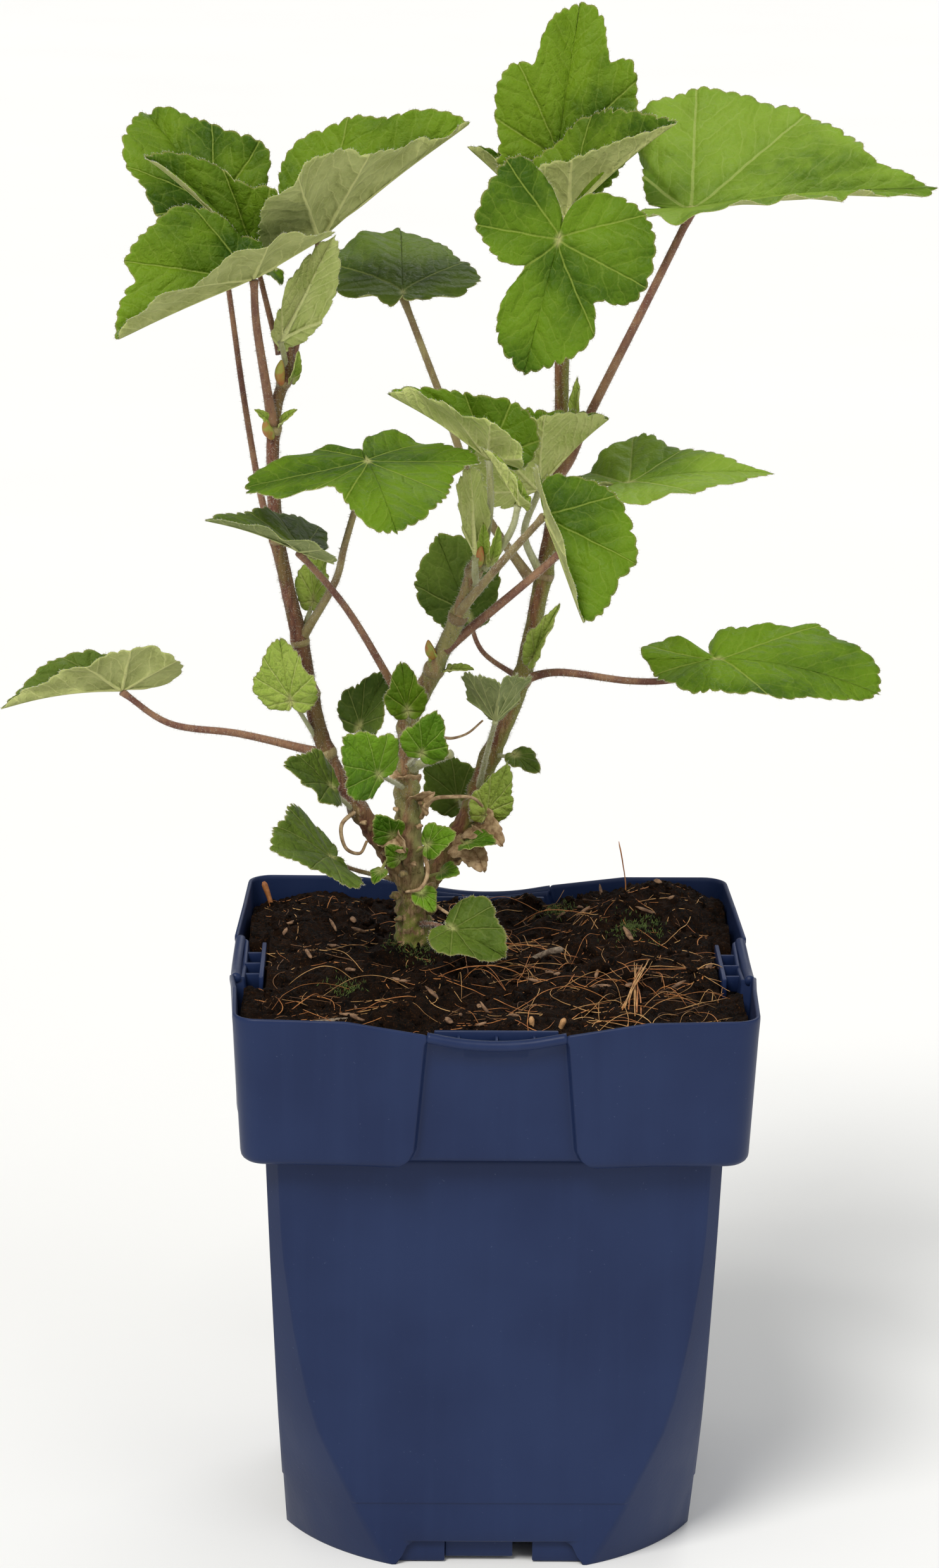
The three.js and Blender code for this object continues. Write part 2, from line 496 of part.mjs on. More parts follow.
// One level of the collar: each side has two raised panels, with a shallow recess between them
function collarRing(z, inset, wall, rimTop) {
  const out = between(COLLAR_HALF, z) - inset - wall;
  const corner = between(COLLAR_HALF, z) - COLLAR_CORNER;
  const round = COLLAR_CORNER - inset - wall;
  const lip = between(LIP_EDGE, z) + wall;
  const half = [[corner, 0], [40, 0.8], [lip, LIP_OUT], [lip - LIP_SLANT, -RECESS_IN]];
  const mirrored = [...half].reverse();
  const level = (t) => (rimTop ? z - between(RIM_DIP, Math.abs(t)) : z);
  return eachSide((turn) => {
    const points = half.map(([t, rise]) => atTurn(out + rise, -t, level(t), turn));
    points.push(atTurn(out - RECESS_IN, 0, level(0), turn));
    mirrored.forEach(([t, rise]) => points.push(atTurn(out + rise, t, level(t), turn)));
    for (let i = 1; i < 4; i += 1) {
      const angle = QUARTER * i / 4;
      const x = corner + round * Math.cos(angle);
      const y = corner + round * Math.sin(angle);
      points.push(atTurn(x, y, level(corner), turn));
    }
    return points;
  }).flat();
}

function body() {
  const levels = [0, 18.4, 18.8, 44, 69, 94, 120.6];
  return loft(levels.map((z) => bodyRing(z, 0, 1, CORNER_STEPS)));
}

function bodyInside() {
  const levels = [FLOOR_TOP, 18, 44, 69, 94, LEDGE_TOP + 1];
  return loft(levels.map((z) => bodyRing(z, WALL, 1, CORNER_STEPS)));
}

function collar() {
  return loft(COLLAR_FILLET.map(([z, inset]) => collarRing(z, inset, 0, z === RIM_Z)));
}

function collarInside() {
  const levels = [LEDGE_TOP, 125, RIM_Z];
  const rings = levels.map((z) => collarRing(z, 0, WALL, false));
  rings.push(rings[2].map((p) => p.clone().setZ(RIM_Z + 10)));
  return loft(rings);
}

// The space under the raised floor, and the gaps between the feet
function underside() {
  return loft([-1, FLOOR_Z].map((z) => bodyRing(z, FOOT_WALL, 1, CORNER_STEPS)));
}

function footGap(turn) {
  const outline = (half, z) => [[52, -half], [66, -half], [66, half], [52, half]]
    .map(([x, y]) => atTurn(x, y, z, turn));
  return loft([outline(NOTCH_FOOT + 0.6, -1), outline(NOTCH_TOP, FLOOR_Z)]);
}

function drain(turn) {
  const hole = new THREE.CylinderGeometry(DRAIN_RADIUS, DRAIN_RADIUS, 6, 10);
  hole.rotateX(QUARTER);
  hole.translate(DRAIN_PLACE, DRAIN_PLACE, FLOOR_Z);
  hole.rotateZ(turn);
  return solid(hole);
}

// A box between two values on each axis, then turned to one of the four sides
function boxAt(x, y, z, turn) {
  const geometry = new THREE.BoxGeometry(x[1] - x[0], y[1] - y[0], z[1] - z[0]);
  geometry.translate((x[0] + x[1]) / 2, (y[0] + y[1]) / 2, (z[0] + z[1]) / 2);
  geometry.rotateZ(turn);
  return solid(geometry);
}

// The lower edge of each recess lies a little above the panels beside it
function recessFoot(turn) {
  return boxAt([66.3, 76], [-23.4, 23.4], [118, 121], turn);
}

// A tab on a ledge behind the recess, for a finger, and the rolled edge over it
function grip(turn) {
  const tab = boxAt(GRIP_X, [-GRIP_HALF, GRIP_HALF], GRIP_Z, turn);
  const ledge = boxAt(LEDGE_X, [-GRIP_HALF, GRIP_HALF], LEDGE_Z, turn);
  const bend = [
    [70.6, -18.5, 156.8], [70.9, -9, 155.2], [71, 0, 154.7], [70.9, 9, 155.2], [70.6, 18.5, 156.8],
  ];
  const path = bend.map(([x, y, z]) => atTurn(x, y, z, turn).toArray());
  return [tab, ledge, tube(path, [BAR_RADIUS, BAR_RADIUS], 7, 6)];
}

function pot() {
  let shape = body().add(collar()).subtract(bodyInside()).subtract(collarInside());
  shape = shape.subtract(underside());
  for (const cut of [...eachSide(footGap), ...eachSide(drain), ...eachSide(recessFoot)]) {
    shape = shape.subtract(cut);
  }
  return eachSide(grip).flat().reduce((sum, piece) => sum.add(piece), shape);
}

// Soil

// One level of a rounded square with the same number of points as the soil's lower levels
function squareRing(z, half, round, flatSteps, cornerSteps) {
  const edge = half - round;
  return eachSide((turn) => {
    const points = [];
    for (let i = 0; i <= flatSteps; i += 1) {
      points.push(atTurn(half, lerp(-edge, edge, i / flatSteps), z, turn));
    }
    for (let i = 1; i < cornerSteps; i += 1) {
      const angle = QUARTER * i / cornerSteps;
      points.push(atTurn(edge + round * Math.cos(angle), edge + round * Math.sin(angle), z, turn));
    }
    return points;
  }).flat();
}

function soilHeight(x, y) {
  let z = SOIL_Z + 1.3 * Math.sin(0.12 * x + 1) * Math.cos(0.1 * y) + 0.7 * Math.sin(0.31 * x - 0.23 * y);
  for (const [cx, cy, rise, reach] of SOIL_MOUNDS) {
    z += rise * Math.exp(-((x - cx) ** 2 + (y - cy) ** 2) / (2 * reach * reach));
  }
  return z;
}

function soil(roots) {
  const levels = [FLOOR_TOP + CLEARANCE, 18, 44, 94, LEDGE_TOP + CLEARANCE];
  const rings = levels.map((z) => bodyRing(z, SOIL_INSET, 4, 3));
  const wide = (z, drawIn) => squareRing(z, between(COLLAR_HALF, z) - 2.2 - drawIn, 4.8, 4, 3);
  rings.push(wide(LEDGE_TOP + CLEARANCE, 0));
  const brim = wide(SOIL_Z, 0);
  for (const share of [1, 0.84, 0.66, 0.46, 0.24]) {
    rings.push(brim.map((p) => vec([p.x * share, p.y * share, soilHeight(p.x * share, p.y * share)])));
  }
  let shape = loft(rings);
  const tab = [GRIP_X[0] - CLEARANCE, 76];
  const side = [-GRIP_HALF - 0.7, GRIP_HALF + 0.7];
  for (const cut of eachSide((turn) => boxAt(tab, side, [GRIP_Z[0] - CLEARANCE, 170], turn))) {
    shape = shape.subtract(cut);
  }
  return shape.subtract(roots);
}

// Leaves

// Outline of a leaf: a smooth closed curve through the rim's points, in turns round the joint
function rimRadius(rim, angle) {
  const count = rim.length;
  let turn = THREE.MathUtils.radToDeg(angle);
  while (turn < rim[0][0]) {
    turn += 360;
  }
  while (turn >= rim[0][0] + 360) {
    turn -= 360;
  }
  const at = (i) => {
    const wrap = Math.floor(i / count);
    const [a, r] = rim[i - wrap * count];
    return [a + 360 * wrap, r];
  };
  let k = 0;
  while (at(k + 1)[0] <= turn) {
    k += 1;
  }
  const [a0, r0] = at(k - 1);
  const [a1, r1] = at(k);
  const [a2, r2] = at(k + 1);
  const [a3, r3] = at(k + 2);
  const h = a2 - a1;
  const u = (turn - a1) / h;
  const m1 = (r2 - r0) / (a2 - a0) * h;
  const m2 = (r3 - r1) / (a3 - a1) * h;
  const rise = r1 * (2 * u ** 3 - 3 * u ** 2 + 1) + r2 * (3 * u ** 2 - 2 * u ** 3);
  return rise + m1 * (u ** 3 - 2 * u ** 2 + u) + m2 * (u ** 3 - u ** 2);
}

// A strip that leaves at an angle and bends at a steady rate: how far it gets along and up
function arc(length, start, rate) {
  if (Math.abs(rate) < 1e-6) {
    return [length * Math.cos(start), length * Math.sin(start)];
  }
  const end = start + rate * length;
  return [(Math.sin(end) - Math.sin(start)) / rate, (Math.cos(start) - Math.cos(end)) / rate];
}

// A point of the blade's middle surface, in the leaf's own frame: the joint at the origin, the tip
// near (1, 0, 0) and the upper face towards +Z
function bladePoint(leaf, share, angle) {
  const { rim = PLAIN_RIM, fold, curl = [0, 0], bend, back = 0.3, width = 1 } = leaf;
  const r = share * rimRadius(rim, angle);
  const x = r * Math.cos(angle);
  const y = r * Math.sin(angle) * width;
  const side = y >= 0 ? 0 : 1;
  const soft = Math.hypot(y, 0.05) - 0.05;
  const [out, lift] = arc(soft, rad(fold[side]), curl[side]);
  const rise = lift + 0.02 * share * share * Math.sin(5 * angle);
  const rate = x >= 0 ? bend : back;
  const [reach, drop] = arc(Math.abs(x), 0, rate);
  const lean = rate * x;
  const along = Math.sign(x) * reach + rise * Math.sin(lean);
  return new THREE.Vector3(along, side === 0 ? out : -out, rise * Math.cos(lean) - drop);
}

// Carries the leaf's own frame to its place on the plant
function leafFrame(leaf) {
  const joint = vec(leaf.joint);
  const chord = vec(leaf.tip).sub(joint);
  const [reach, drop] = arc(1, 0, leaf.bend);
  const size = chord.length() / Math.hypot(reach, drop);
  const ahead = chord.clone().normalize();
  const up = vec(leaf.up);
  up.addScaledVector(ahead, -up.dot(ahead)).normalize();
  const across = up.clone().cross(ahead);
  const frame = new THREE.Matrix4().makeTranslation(joint);
  frame.multiply(new THREE.Matrix4().makeBasis(ahead, across, up));
  frame.multiply(new THREE.Matrix4().makeRotationY(Math.atan2(-drop, reach)));
  return frame.scale(new THREE.Vector3(size, size, size));
}

// Angles at even steps along the margin, with a point at the tip and one at the notch
function marginAngles(leaf, pitch) {
  const frame = leafFrame(leaf);
  const halves = [1, -1].map((sign) => {
    const walk = [[0, 0]];
    let before = bladePoint(leaf, 1, 0).applyMatrix4(frame);
    for (let i = 1; i <= 90; i += 1) {
      const angle = sign * Math.PI * i / 90;
      const here = bladePoint(leaf, 1, angle).applyMatrix4(frame);
      walk.push([walk[i - 1][0] + here.distanceTo(before), angle]);
      before = here;
    }
    const total = walk[90][0];
    const count = THREE.MathUtils.clamp(2 * Math.round(total / pitch / 2), 6, 22);
    return Array.from({ length: count }, (_, i) => between(walk, total * i / count));
  });
  const right = halves[1].slice(1).reverse();
  return [...halves[0], Math.PI, ...right];
}

// The same sheet of triangles above and below the middle surface, closed along the margin
function blade(leaf, pitch, shares) {
  const frame = leafFrame(leaf);
  const angles = marginAngles(leaf, pitch);
  const count = angles.length;
  const points = [bladePoint(leaf, 0, 0)];
  for (const share of shares) {
    angles.forEach((angle, i) => {
      const tooth = share === 1 && i % 2 === 1 ? 1 - TOOTH : 1;
      points.push(bladePoint(leaf, share * tooth, angle));
    });
  }
  points.forEach((p) => p.applyMatrix4(frame));
  const sheet = [];
  for (let i = 0; i < count; i += 1) {
    const next = (i + 1) % count;
    sheet.push([0, 1 + i, 1 + next]);
    for (let k = 1; k < shares.length; k += 1) {
      const a = 1 + (k - 1) * count;
      const b = a + count;
      sheet.push([a + i, b + i, b + next], [a + i, b + next, a + next]);
    }
  }
  const [above, below] = offsets(points, sheet, BLADE / 2);
  const total = points.length;
  const faces = sheet.flat();
  sheet.forEach(([a, b, c]) => faces.push(total + a, total + c, total + b));
  const edge = total - count;
  for (let i = 0; i < count; i += 1) {
    const a = edge + i;
    const b = edge + (i + 1) % count;
    faces.push(total + a, total + b, b, total + a, b, a);
  }
  const geometry = new THREE.BufferGeometry().setFromPoints([...above, ...below]);
  geometry.setIndex(faces);
  return solid(geometry);
}

// Both faces of a sheet: along folds the points move further out, so the sheet keeps its thickness
function offsets(points, sheet, distance) {
  const normals = points.map(() => new THREE.Vector3());
  const flats = sheet.map(([a, b, c]) => {
    const normal = points[b].clone().sub(points[a]).cross(points[c].clone().sub(points[a]));
    [a, b, c].forEach((i) => normals[i].add(normal));
    return normal.clone().normalize();
  });
  normals.forEach((n) => n.normalize());
  const tilt = points.map(() => 1);
  sheet.forEach((face, f) => {
    face.forEach((i) => {
      tilt[i] = Math.min(tilt[i], normals[i].dot(flats[f]));
    });
  });
  const shift = (i) => distance / Math.max(0.45, tilt[i]);
  const above = points.map((p, i) => p.clone().addScaledVector(normals[i], shift(i)));
  const below = points.map((p, i) => p.clone().addScaledVector(normals[i], -shift(i)));
  return [above, below];
}

function leafSolid(leaf, stems) {
  const small = leaf.name.startsWith("small");
  const path = [...leaf.stalk, leaf.joint];
  const steps = small ? path.length : path.length + 3;
  const stalk = tube(path, [leaf.thick * 1.15, leaf.thick * 0.85], small ? 4 : 5, steps);
  const sheet = blade(leaf, small ? 5.5 : 8, small ? [0.5, 1] : [0.55, 1]);
  return stalk.add(sheet).subtract(stems);
}

function sprout({ root, joint, tip, up }) {
  const leaf = { joint, tip, up, fold: [12, 12], bend: 0.3, width: 0.9 };
  return blade(leaf, 4, [1]).add(tube([root, joint], [0.6, 0.45], 4, 1));
}

// One stem with the stumps and stipules that grow from it
function stem(name, grow) {
  const wood = STEMS[name].map(({ path, radii, sides }) => {
    const steps = Math.round(1.3 * (path.length - 1));
    return tube(path, radii, sides, steps, grow);
  });
  const stumps = STUMPS[name].map(({ path, radii }) => tube(path, radii, 5, path.length, grow));
  const shapes = [...wood, ...stumps];
  return shapes.slice(1).reduce((sum, shape) => sum.add(shape), shapes[0]);
}

// The same with its sprouts, cut clear of the stems that it leans on
function finishedStem(name, others) {
  const whole = SPROUTS[name].reduce((sum, place) => sum.add(sprout(place)), stem(name, 0));
  return others.reduce((rest, other) => rest.subtract(grownStem[other]), whole);
}

const plant = new THREE.Group();
const grownStem = {};
for (const name of ["middle", "left", "right"]) {
  grownStem[name] = stem(name, CLEARANCE);
}
const grownStems = grownStem.middle.add(grownStem.left).add(grownStem.right);
plant.add(meshOf("pot", pot(), NAVY));
plant.add(meshOf("soil", soil(grownStems), PEAT));
plant.add(meshOf("stem_middle_with_root", finishedStem("middle", []), BARK));
plant.add(meshOf("stem_left", finishedStem("left", ["middle"]), BARK));
plant.add(meshOf("stem_right", finishedStem("right", ["middle", "left"]), BARK));
for (const leaf of LEAVES) {
  const surface = YOUNG.includes(leaf.name) ? PALE_GREEN : GREEN;
  plant.add(meshOf(leaf.name, leafSolid(leaf, grownStems), surface));
}

const extent = new THREE.Box3().setFromObject(plant);
const middle = extent.getCenter(new THREE.Vector3());
plant.position.set(-middle.x, -middle.y, -extent.min.z);

const part = new THREE.Group();
part.add(plant);
export default part;
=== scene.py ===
"""Looks of a young tree mallow in a square nursery pot.

Lengths are typed in millimetres in the plant's own frame, where the pot's axis is x = y = 0, its feet
stand on z = 0 and its front faces -Y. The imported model's pot says where that frame lies.
"""

import math

import bpy
import numpy as np
from mathutils import Matrix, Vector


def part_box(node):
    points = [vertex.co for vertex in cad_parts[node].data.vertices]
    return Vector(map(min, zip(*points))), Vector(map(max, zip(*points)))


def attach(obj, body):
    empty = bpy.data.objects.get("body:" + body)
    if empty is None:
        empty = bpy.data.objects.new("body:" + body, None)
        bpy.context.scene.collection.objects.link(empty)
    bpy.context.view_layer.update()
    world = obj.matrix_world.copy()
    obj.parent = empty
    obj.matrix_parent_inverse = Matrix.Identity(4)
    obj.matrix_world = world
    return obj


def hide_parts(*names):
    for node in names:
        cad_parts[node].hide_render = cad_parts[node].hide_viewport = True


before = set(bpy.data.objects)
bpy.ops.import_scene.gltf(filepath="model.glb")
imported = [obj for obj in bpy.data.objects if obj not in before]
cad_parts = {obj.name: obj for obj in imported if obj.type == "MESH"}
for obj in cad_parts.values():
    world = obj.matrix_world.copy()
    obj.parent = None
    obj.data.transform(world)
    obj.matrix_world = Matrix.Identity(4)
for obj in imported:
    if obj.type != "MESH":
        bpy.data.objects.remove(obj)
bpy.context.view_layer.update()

MM = 0.001
QUARTER = math.pi / 2
TURN = 2 * math.pi
POT_LOW, POT_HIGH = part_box("pot")
AXIS = np.array([(POT_LOW.x + POT_HIGH.x) / 2, (POT_LOW.y + POT_HIGH.y) / 2, POT_LOW.z])

# The photograph's camera, in the plant's frame
PHOTO_HEIGHT = 2478
FOCAL_PIXELS = 7054
CAMERA_AT = (-26.5, -1190.5, 519.8)
CAMERA_PITCH = 14.7
CAMERA_YAW = 0.95
CAMERA_ROLL = 0.6
FLOOR_HALF = 60  # metres, beyond the camera's clip_end


# Small helpers

def unit(v):
    return v / (np.linalg.norm(v, axis=-1, keepdims=True) + 1e-12)


def smoothstep(low, high, value):
    t = np.clip((value - low) / (high - low), 0, 1)
    return t * t * (3 - 2 * t)


def between(table, place):
    """Straight-line reading of a table of values by place."""
    return np.interp(place, list(table), list(table.values()))


def spread(values, count):
    """The values spread evenly over a number of points."""
    return np.interp(np.linspace(0, 1, count), np.linspace(0, 1, len(values)), values)


def walk_along(line):
    """How far each point of a line is from its start, along it."""
    return np.concatenate([[0], np.cumsum(np.linalg.norm(np.diff(line, axis=0), axis=1))])


def add_object(name, data):
    thing = bpy.data.objects.new(name, data)
    bpy.context.scene.collection.objects.link(thing)
    return thing


class Soup:
    """The points, faces and looks of one piece, in millimetres, with six places for each face corner."""

    def __init__(self, *looks):
        self.looks = looks
        self.points, self.faces, self.kinds, self.places = [], [], [], []
        self.count = 0

    def add(self, points, groups, looks=None, places=None):
        """Takes a list of groups of faces, and one look for all of them or a list of one for each."""
        looks = looks or self.looks[0]
        for number, group in enumerate(groups):
            look = looks if isinstance(looks, str) else looks[number]
            self.faces.extend((group + self.count).tolist())
            self.kinds.extend([self.looks.index(look)] * len(group))
        corners = sum(group.size for group in groups)
        self.places.append(np.zeros((corners, 6)) if places is None else places)
        self.points.append(points)
        self.count += len(points)

    def piece(self, name, slot, *nodes):
        mesh = bpy.data.meshes.new(name)
        mesh.from_pydata((np.concatenate(self.points) * MM + AXIS).tolist(), [], self.faces)
        places = np.concatenate(self.places)
        for number, label in enumerate(("flat", "vein", "rim")):
            layer = mesh.uv_layers.new(name=label)
            layer.data.foreach_set("uv", places[:, 2 * number:2 * number + 2].ravel())
        for look in self.looks:
            mesh.materials.append(LOOKS[look])
        mesh.polygons.foreach_set("material_index", self.kinds)
        mesh.polygons.foreach_set("use_smooth", [True] * len(self.faces))
        mesh.update()
        piece = add_object(name, mesh)
        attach(piece, "root")
        if nodes:
            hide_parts(*nodes)


# Camera, light and floor

def aimed(side, up, ahead):
    """The turn of a camera or light that looks ahead."""
    return Matrix(np.stack([side, up, -ahead], 1).tolist()).to_4x4()


def photo_camera():
    pitch, yaw, roll = (math.radians(a) for a in (CAMERA_PITCH, CAMERA_YAW, CAMERA_ROLL))
    right = np.array([math.cos(yaw), -math.sin(yaw), 0])
    level = np.array([math.sin(yaw), math.cos(yaw), 0])
    ahead = level * math.cos(pitch) + np.array([0, 0, -math.sin(pitch)])
    up = np.cross(right, ahead)
    data = bpy.data.cameras.new("photo_camera")
    data.sensor_fit = "VERTICAL"
    data.sensor_height = 24
    data.lens = FOCAL_PIXELS / PHOTO_HEIGHT * data.sensor_height
    data.clip_start = 0.05
    data.clip_end = 50
    camera = add_object("photo_camera", data)
    c, s = math.cos(roll), math.sin(roll)
    turn = aimed(right * c + up * s, up * c - right * s, ahead)
    camera.matrix_world = Matrix.Translation((AXIS + np.array(CAMERA_AT) * MM).tolist()) @ turn
    bpy.context.scene.camera = camera


def sun_light(name, towards, width, power, colour=(1, 1, 1)):
    """A soft distant light that shines along a direction; its width is in degrees."""
    data = bpy.data.lights.new(name, "SUN")
    data.angle = math.radians(width)
    data.energy = power
    data.color = colour
    ahead = unit(np.array(towards, float))
    side = unit(np.cross(ahead, (0, 0, 1.0)))
    add_object(name, data).matrix_world = aimed(side, np.cross(side, ahead), ahead)


def studio():
    sun_light("key_light", (0.42, 0.8, -1.2), 22, 2.2, (1, 0.985, 0.95))
    sun_light("fill_light", (-0.8, 0.9, -0.5), 40, 0.5, (0.95, 0.98, 1))
    sun_light("back_light", (-0.3, -1.0, -0.9), 30, 0.45)
    world = bpy.data.worlds.new("studio_world")
    world.use_nodes = True
    glow = world.node_tree.nodes["Background"]
    glow.inputs["Color"].default_value = (1, 1, 1, 1)
    glow.inputs["Strength"].default_value = 0.45
    bpy.context.scene.world = world
    view = bpy.context.scene.view_settings
    view.view_transform = "Standard"
    view.look = "None"


def floor():
    mesh = bpy.data.meshes.new("floor")
    corners = [(FLOOR_HALF * x, FLOOR_HALF * y, 0) for x, y in ((-1, -1), (1, -1), (1, 1), (-1, 1))]
    mesh.from_pydata(corners, [], [(0, 1, 2, 3)])
    mesh.materials.append(floor_material())
    add_object("floor", mesh)


# Materials

class Shader:
    """A material with one principled shader, and short calls that add nodes to it."""

    def __init__(self, name, **constants):
        self.material = bpy.data.materials.new(name)
        self.material.use_nodes = True
        self.tree = self.material.node_tree
        self.surface = self.tree.nodes["Principled BSDF"]
        for key, value in constants.items():
            self.set(key.replace("_", " "), value)

    def set(self, key, value):
        self.put(self.surface.inputs[key], value)

    def put(self, socket, value):
        if isinstance(value, bpy.types.NodeSocket):
            self.tree.links.new(value, socket)
        else:
            socket.default_value = value

    def node(self, kind, inputs=(), out=0, **settings):
        node = self.tree.nodes.new("ShaderNode" + kind)
        for key, value in settings.items():
            setattr(node, key, value)
        for key, value in dict(inputs).items():
            self.put(node.inputs[key], value)
        return node.outputs[out]

    def calc(self, operation, a, b=0, c=0):
        return self.node("Math", {0: a, 1: b, 2: c}, operation=operation)

    def times(self, a, b):
        return self.calc("MULTIPLY", a, b)

    def times_add(self, a, b, c):
        return self.calc("MULTIPLY_ADD", a, b, c)

    def vector(self, operation, a, b=None, out=0):
        return self.node("VectorMath", {0: a} if b is None else {0: a, 1: b}, out, operation=operation)

    def ramp(self, value, low, high, start=0, end=1):
        inputs = {"Value": value, "From Min": low, "From Max": high, "To Min": start, "To Max": end}
        return self.node("MapRange", inputs, interpolation_type="SMOOTHSTEP")

    def mix(self, share, a, b):
        a, b = ((*c, 1) if isinstance(c, tuple) else c for c in (a, b))
        return self.node("Mix", {0: share, 6: a, 7: b}, out=2, data_type="RGBA")

    def noise(self, vector, scale, detail=3, roughness=0.5):
        inputs = {"Vector": vector, "Scale": scale, "Detail": detail, "Roughness": roughness}
        return self.node("TexNoise", inputs)

    def edges(self, vector, scale):
        inputs = {"Vector": vector, "Scale": scale}
        return self.node("TexVoronoi", inputs, out="Distance", feature="DISTANCE_TO_EDGE")

    def place(self, *stretch):
        """Object coordinates in millimetres, or stretched along each axis."""
        coords = self.node("TexCoord", out="Object")
        return self.vector("MULTIPLY", coords, stretch or (1000, 1000, 1000))

    def uv(self, label):
        return self.node("UVMap", uv_map=label)

    def parts(self, vector):
        node = self.tree.nodes.new("ShaderNodeSeparateXYZ")
        self.put(node.inputs[0], vector)
        return node.outputs

    def bump(self, height, depth, strength=1):
        inputs = {"Strength": strength, "Distance": depth * MM, "Height": height}
        self.set("Normal", self.node("Bump", inputs))


def floor_material():
    s = Shader("pale_floor", Roughness=0.9)
    cloud = s.noise(s.place(3, 3, 3), 1)
    s.set("Base Color", s.mix(cloud, (0.86, 0.86, 0.85), (0.9, 0.9, 0.89)))
    return s.material


def vein_masks(s, spacing):
    """How strongly main, side and net veins show, and the soft pillows that they leave between them."""
    flat = s.uv("flat")
    drift = s.calc("SUBTRACT", s.noise(flat, 0.16, 2), 0.5)
    across, along, _ = s.parts(s.uv("vein"))
    bent = s.calc("ABSOLUTE", s.times_add(drift, 0.9, across))
    inward, size, _ = s.parts(s.uv("rim"))
    width = s.calc("MAXIMUM", s.times_add(size, 0.0072, s.times_add(along, -0.008, 0.12)), 0.12)
    off_main = s.calc("DIVIDE", bent, width)
    start = s.times_add(bent, -1.05, along)
    start = s.times_add(s.calc("GREATER_THAN", across, 0), spacing * 0.45, start)
    start = s.times_add(drift, spacing * 1.1, start)
    turn = s.calc("FRACT", s.calc("DIVIDE", start, spacing))
    gap = s.times(s.calc("ABSOLUTE", s.calc("SUBTRACT", turn, 0.5)), spacing)
    shift = s.node("TexNoise", {"Vector": flat, "Scale": 0.5, "Detail": 2}, out="Color")
    warped = s.vector("ADD", flat, s.vector("MULTIPLY", shift, (1.6, 1.6, 0)))
    net = s.edges(warped, 2 / spacing)
    fine = s.edges(warped, 5.5 / spacing)
    height = s.times(s.ramp(gap, 0, spacing * 0.42), 0.3)
    height = s.times_add(s.ramp(net, 0, 0.3), 0.13, height)
    height = s.times_add(s.ramp(fine, 0, 0.35), 0.06, height)
    height = s.times_add(s.ramp(off_main, 3.2, 0.3), -0.25, height)
    return {"flat": flat, "main": s.ramp(off_main, 1.3, 0.5), "branch": s.ramp(gap, 0.36, 0.08),
            "net": s.ramp(net, 0.11, 0), "ridge": s.ramp(bent, 0.5, 6.5), "height": height, "inward": inward}


def veined(s, colour, masks, vein, net, branch, main):
    """Lays the veins' colour over another, by the given shares."""
    for label, share in (("net", net), ("branch", branch), ("main", main)):
        colour = s.mix(s.times(masks[label], share), colour, vein)
    return colour


def leaf_upper(name, dark, light, vein, spacing=5.6, relief=1):
    """The green side: clouded tones, paler veins, and a yellower joint and margin."""
    s = Shader(name, Specular_IOR_Level=0.11, Subsurface_Weight=0.12, Subsurface_Radius=(0.5, 1, 0.2),
               Subsurface_Scale=0.0012)
    masks = vein_masks(s, spacing)
    patch = s.ramp(s.noise(masks["flat"], 0.22, 4, 0.6), 0.3, 0.7)
    colour = s.mix(s.ramp(s.noise(s.place(), 0.035, 2), 0.35, 0.65), dark, light)
    colour = s.mix(s.times(s.times(patch, masks["ridge"]), 0.6), colour, light)
    colour = veined(s, colour, masks, vein, 0.08, 0.18, 0.65)
    joint = s.vector("LENGTH", masks["flat"], out="Value")
    colour = s.mix(s.ramp(joint, 3.2, 0.6, 0, 0.75), colour, (0.42, 0.42, 0.16))
    colour = s.mix(s.ramp(masks["inward"], 0.75, 0.15, 0, 0.5), colour, (0.3, 0.27, 0.09))
    s.set("Base Color", colour)
    s.set("Roughness", s.ramp(patch, 0, 1, 0.44, 0.58))
    pimples = s.noise(masks["flat"], 2.2, 3, 0.6)
    s.bump(s.times_add(pimples, 0.1, masks["height"]), relief)
    return s.material


def leaf_under(name, dark, light, vein, spacing=5.6):
    """The felted grey-green side, with raised veins."""
    s = Shader(name, Roughness=0.85, Sheen_Weight=0.05, Sheen_Roughness=0.5, Sheen_Tint=(1, 1, 0.7, 1),
               Specular_IOR_Level=0.1, Subsurface_Weight=0.1, Subsurface_Radius=(0.6, 1, 0.3),
               Subsurface_Scale=0.001)
    masks = vein_masks(s, spacing)
    felt = s.noise(masks["flat"], 2.6, 4, 0.7)
    colour = s.mix(s.ramp(s.noise(masks["flat"], 0.12, 3), 0.3, 0.7), dark, light)
    colour = s.mix(s.ramp(felt, 0.35, 0.7, 0, 0.4), colour, light)
    colour = veined(s, colour, masks, vein, 0.16, 0.45, 0.9)
    s.set("Base Color", s.mix(s.ramp(masks["inward"], 0.7, 0.1, 0, 0.45), colour, vein))
    s.bump(s.times_add(felt, 0.14, s.times(masks["height"], -1)), 1)
    return s.material


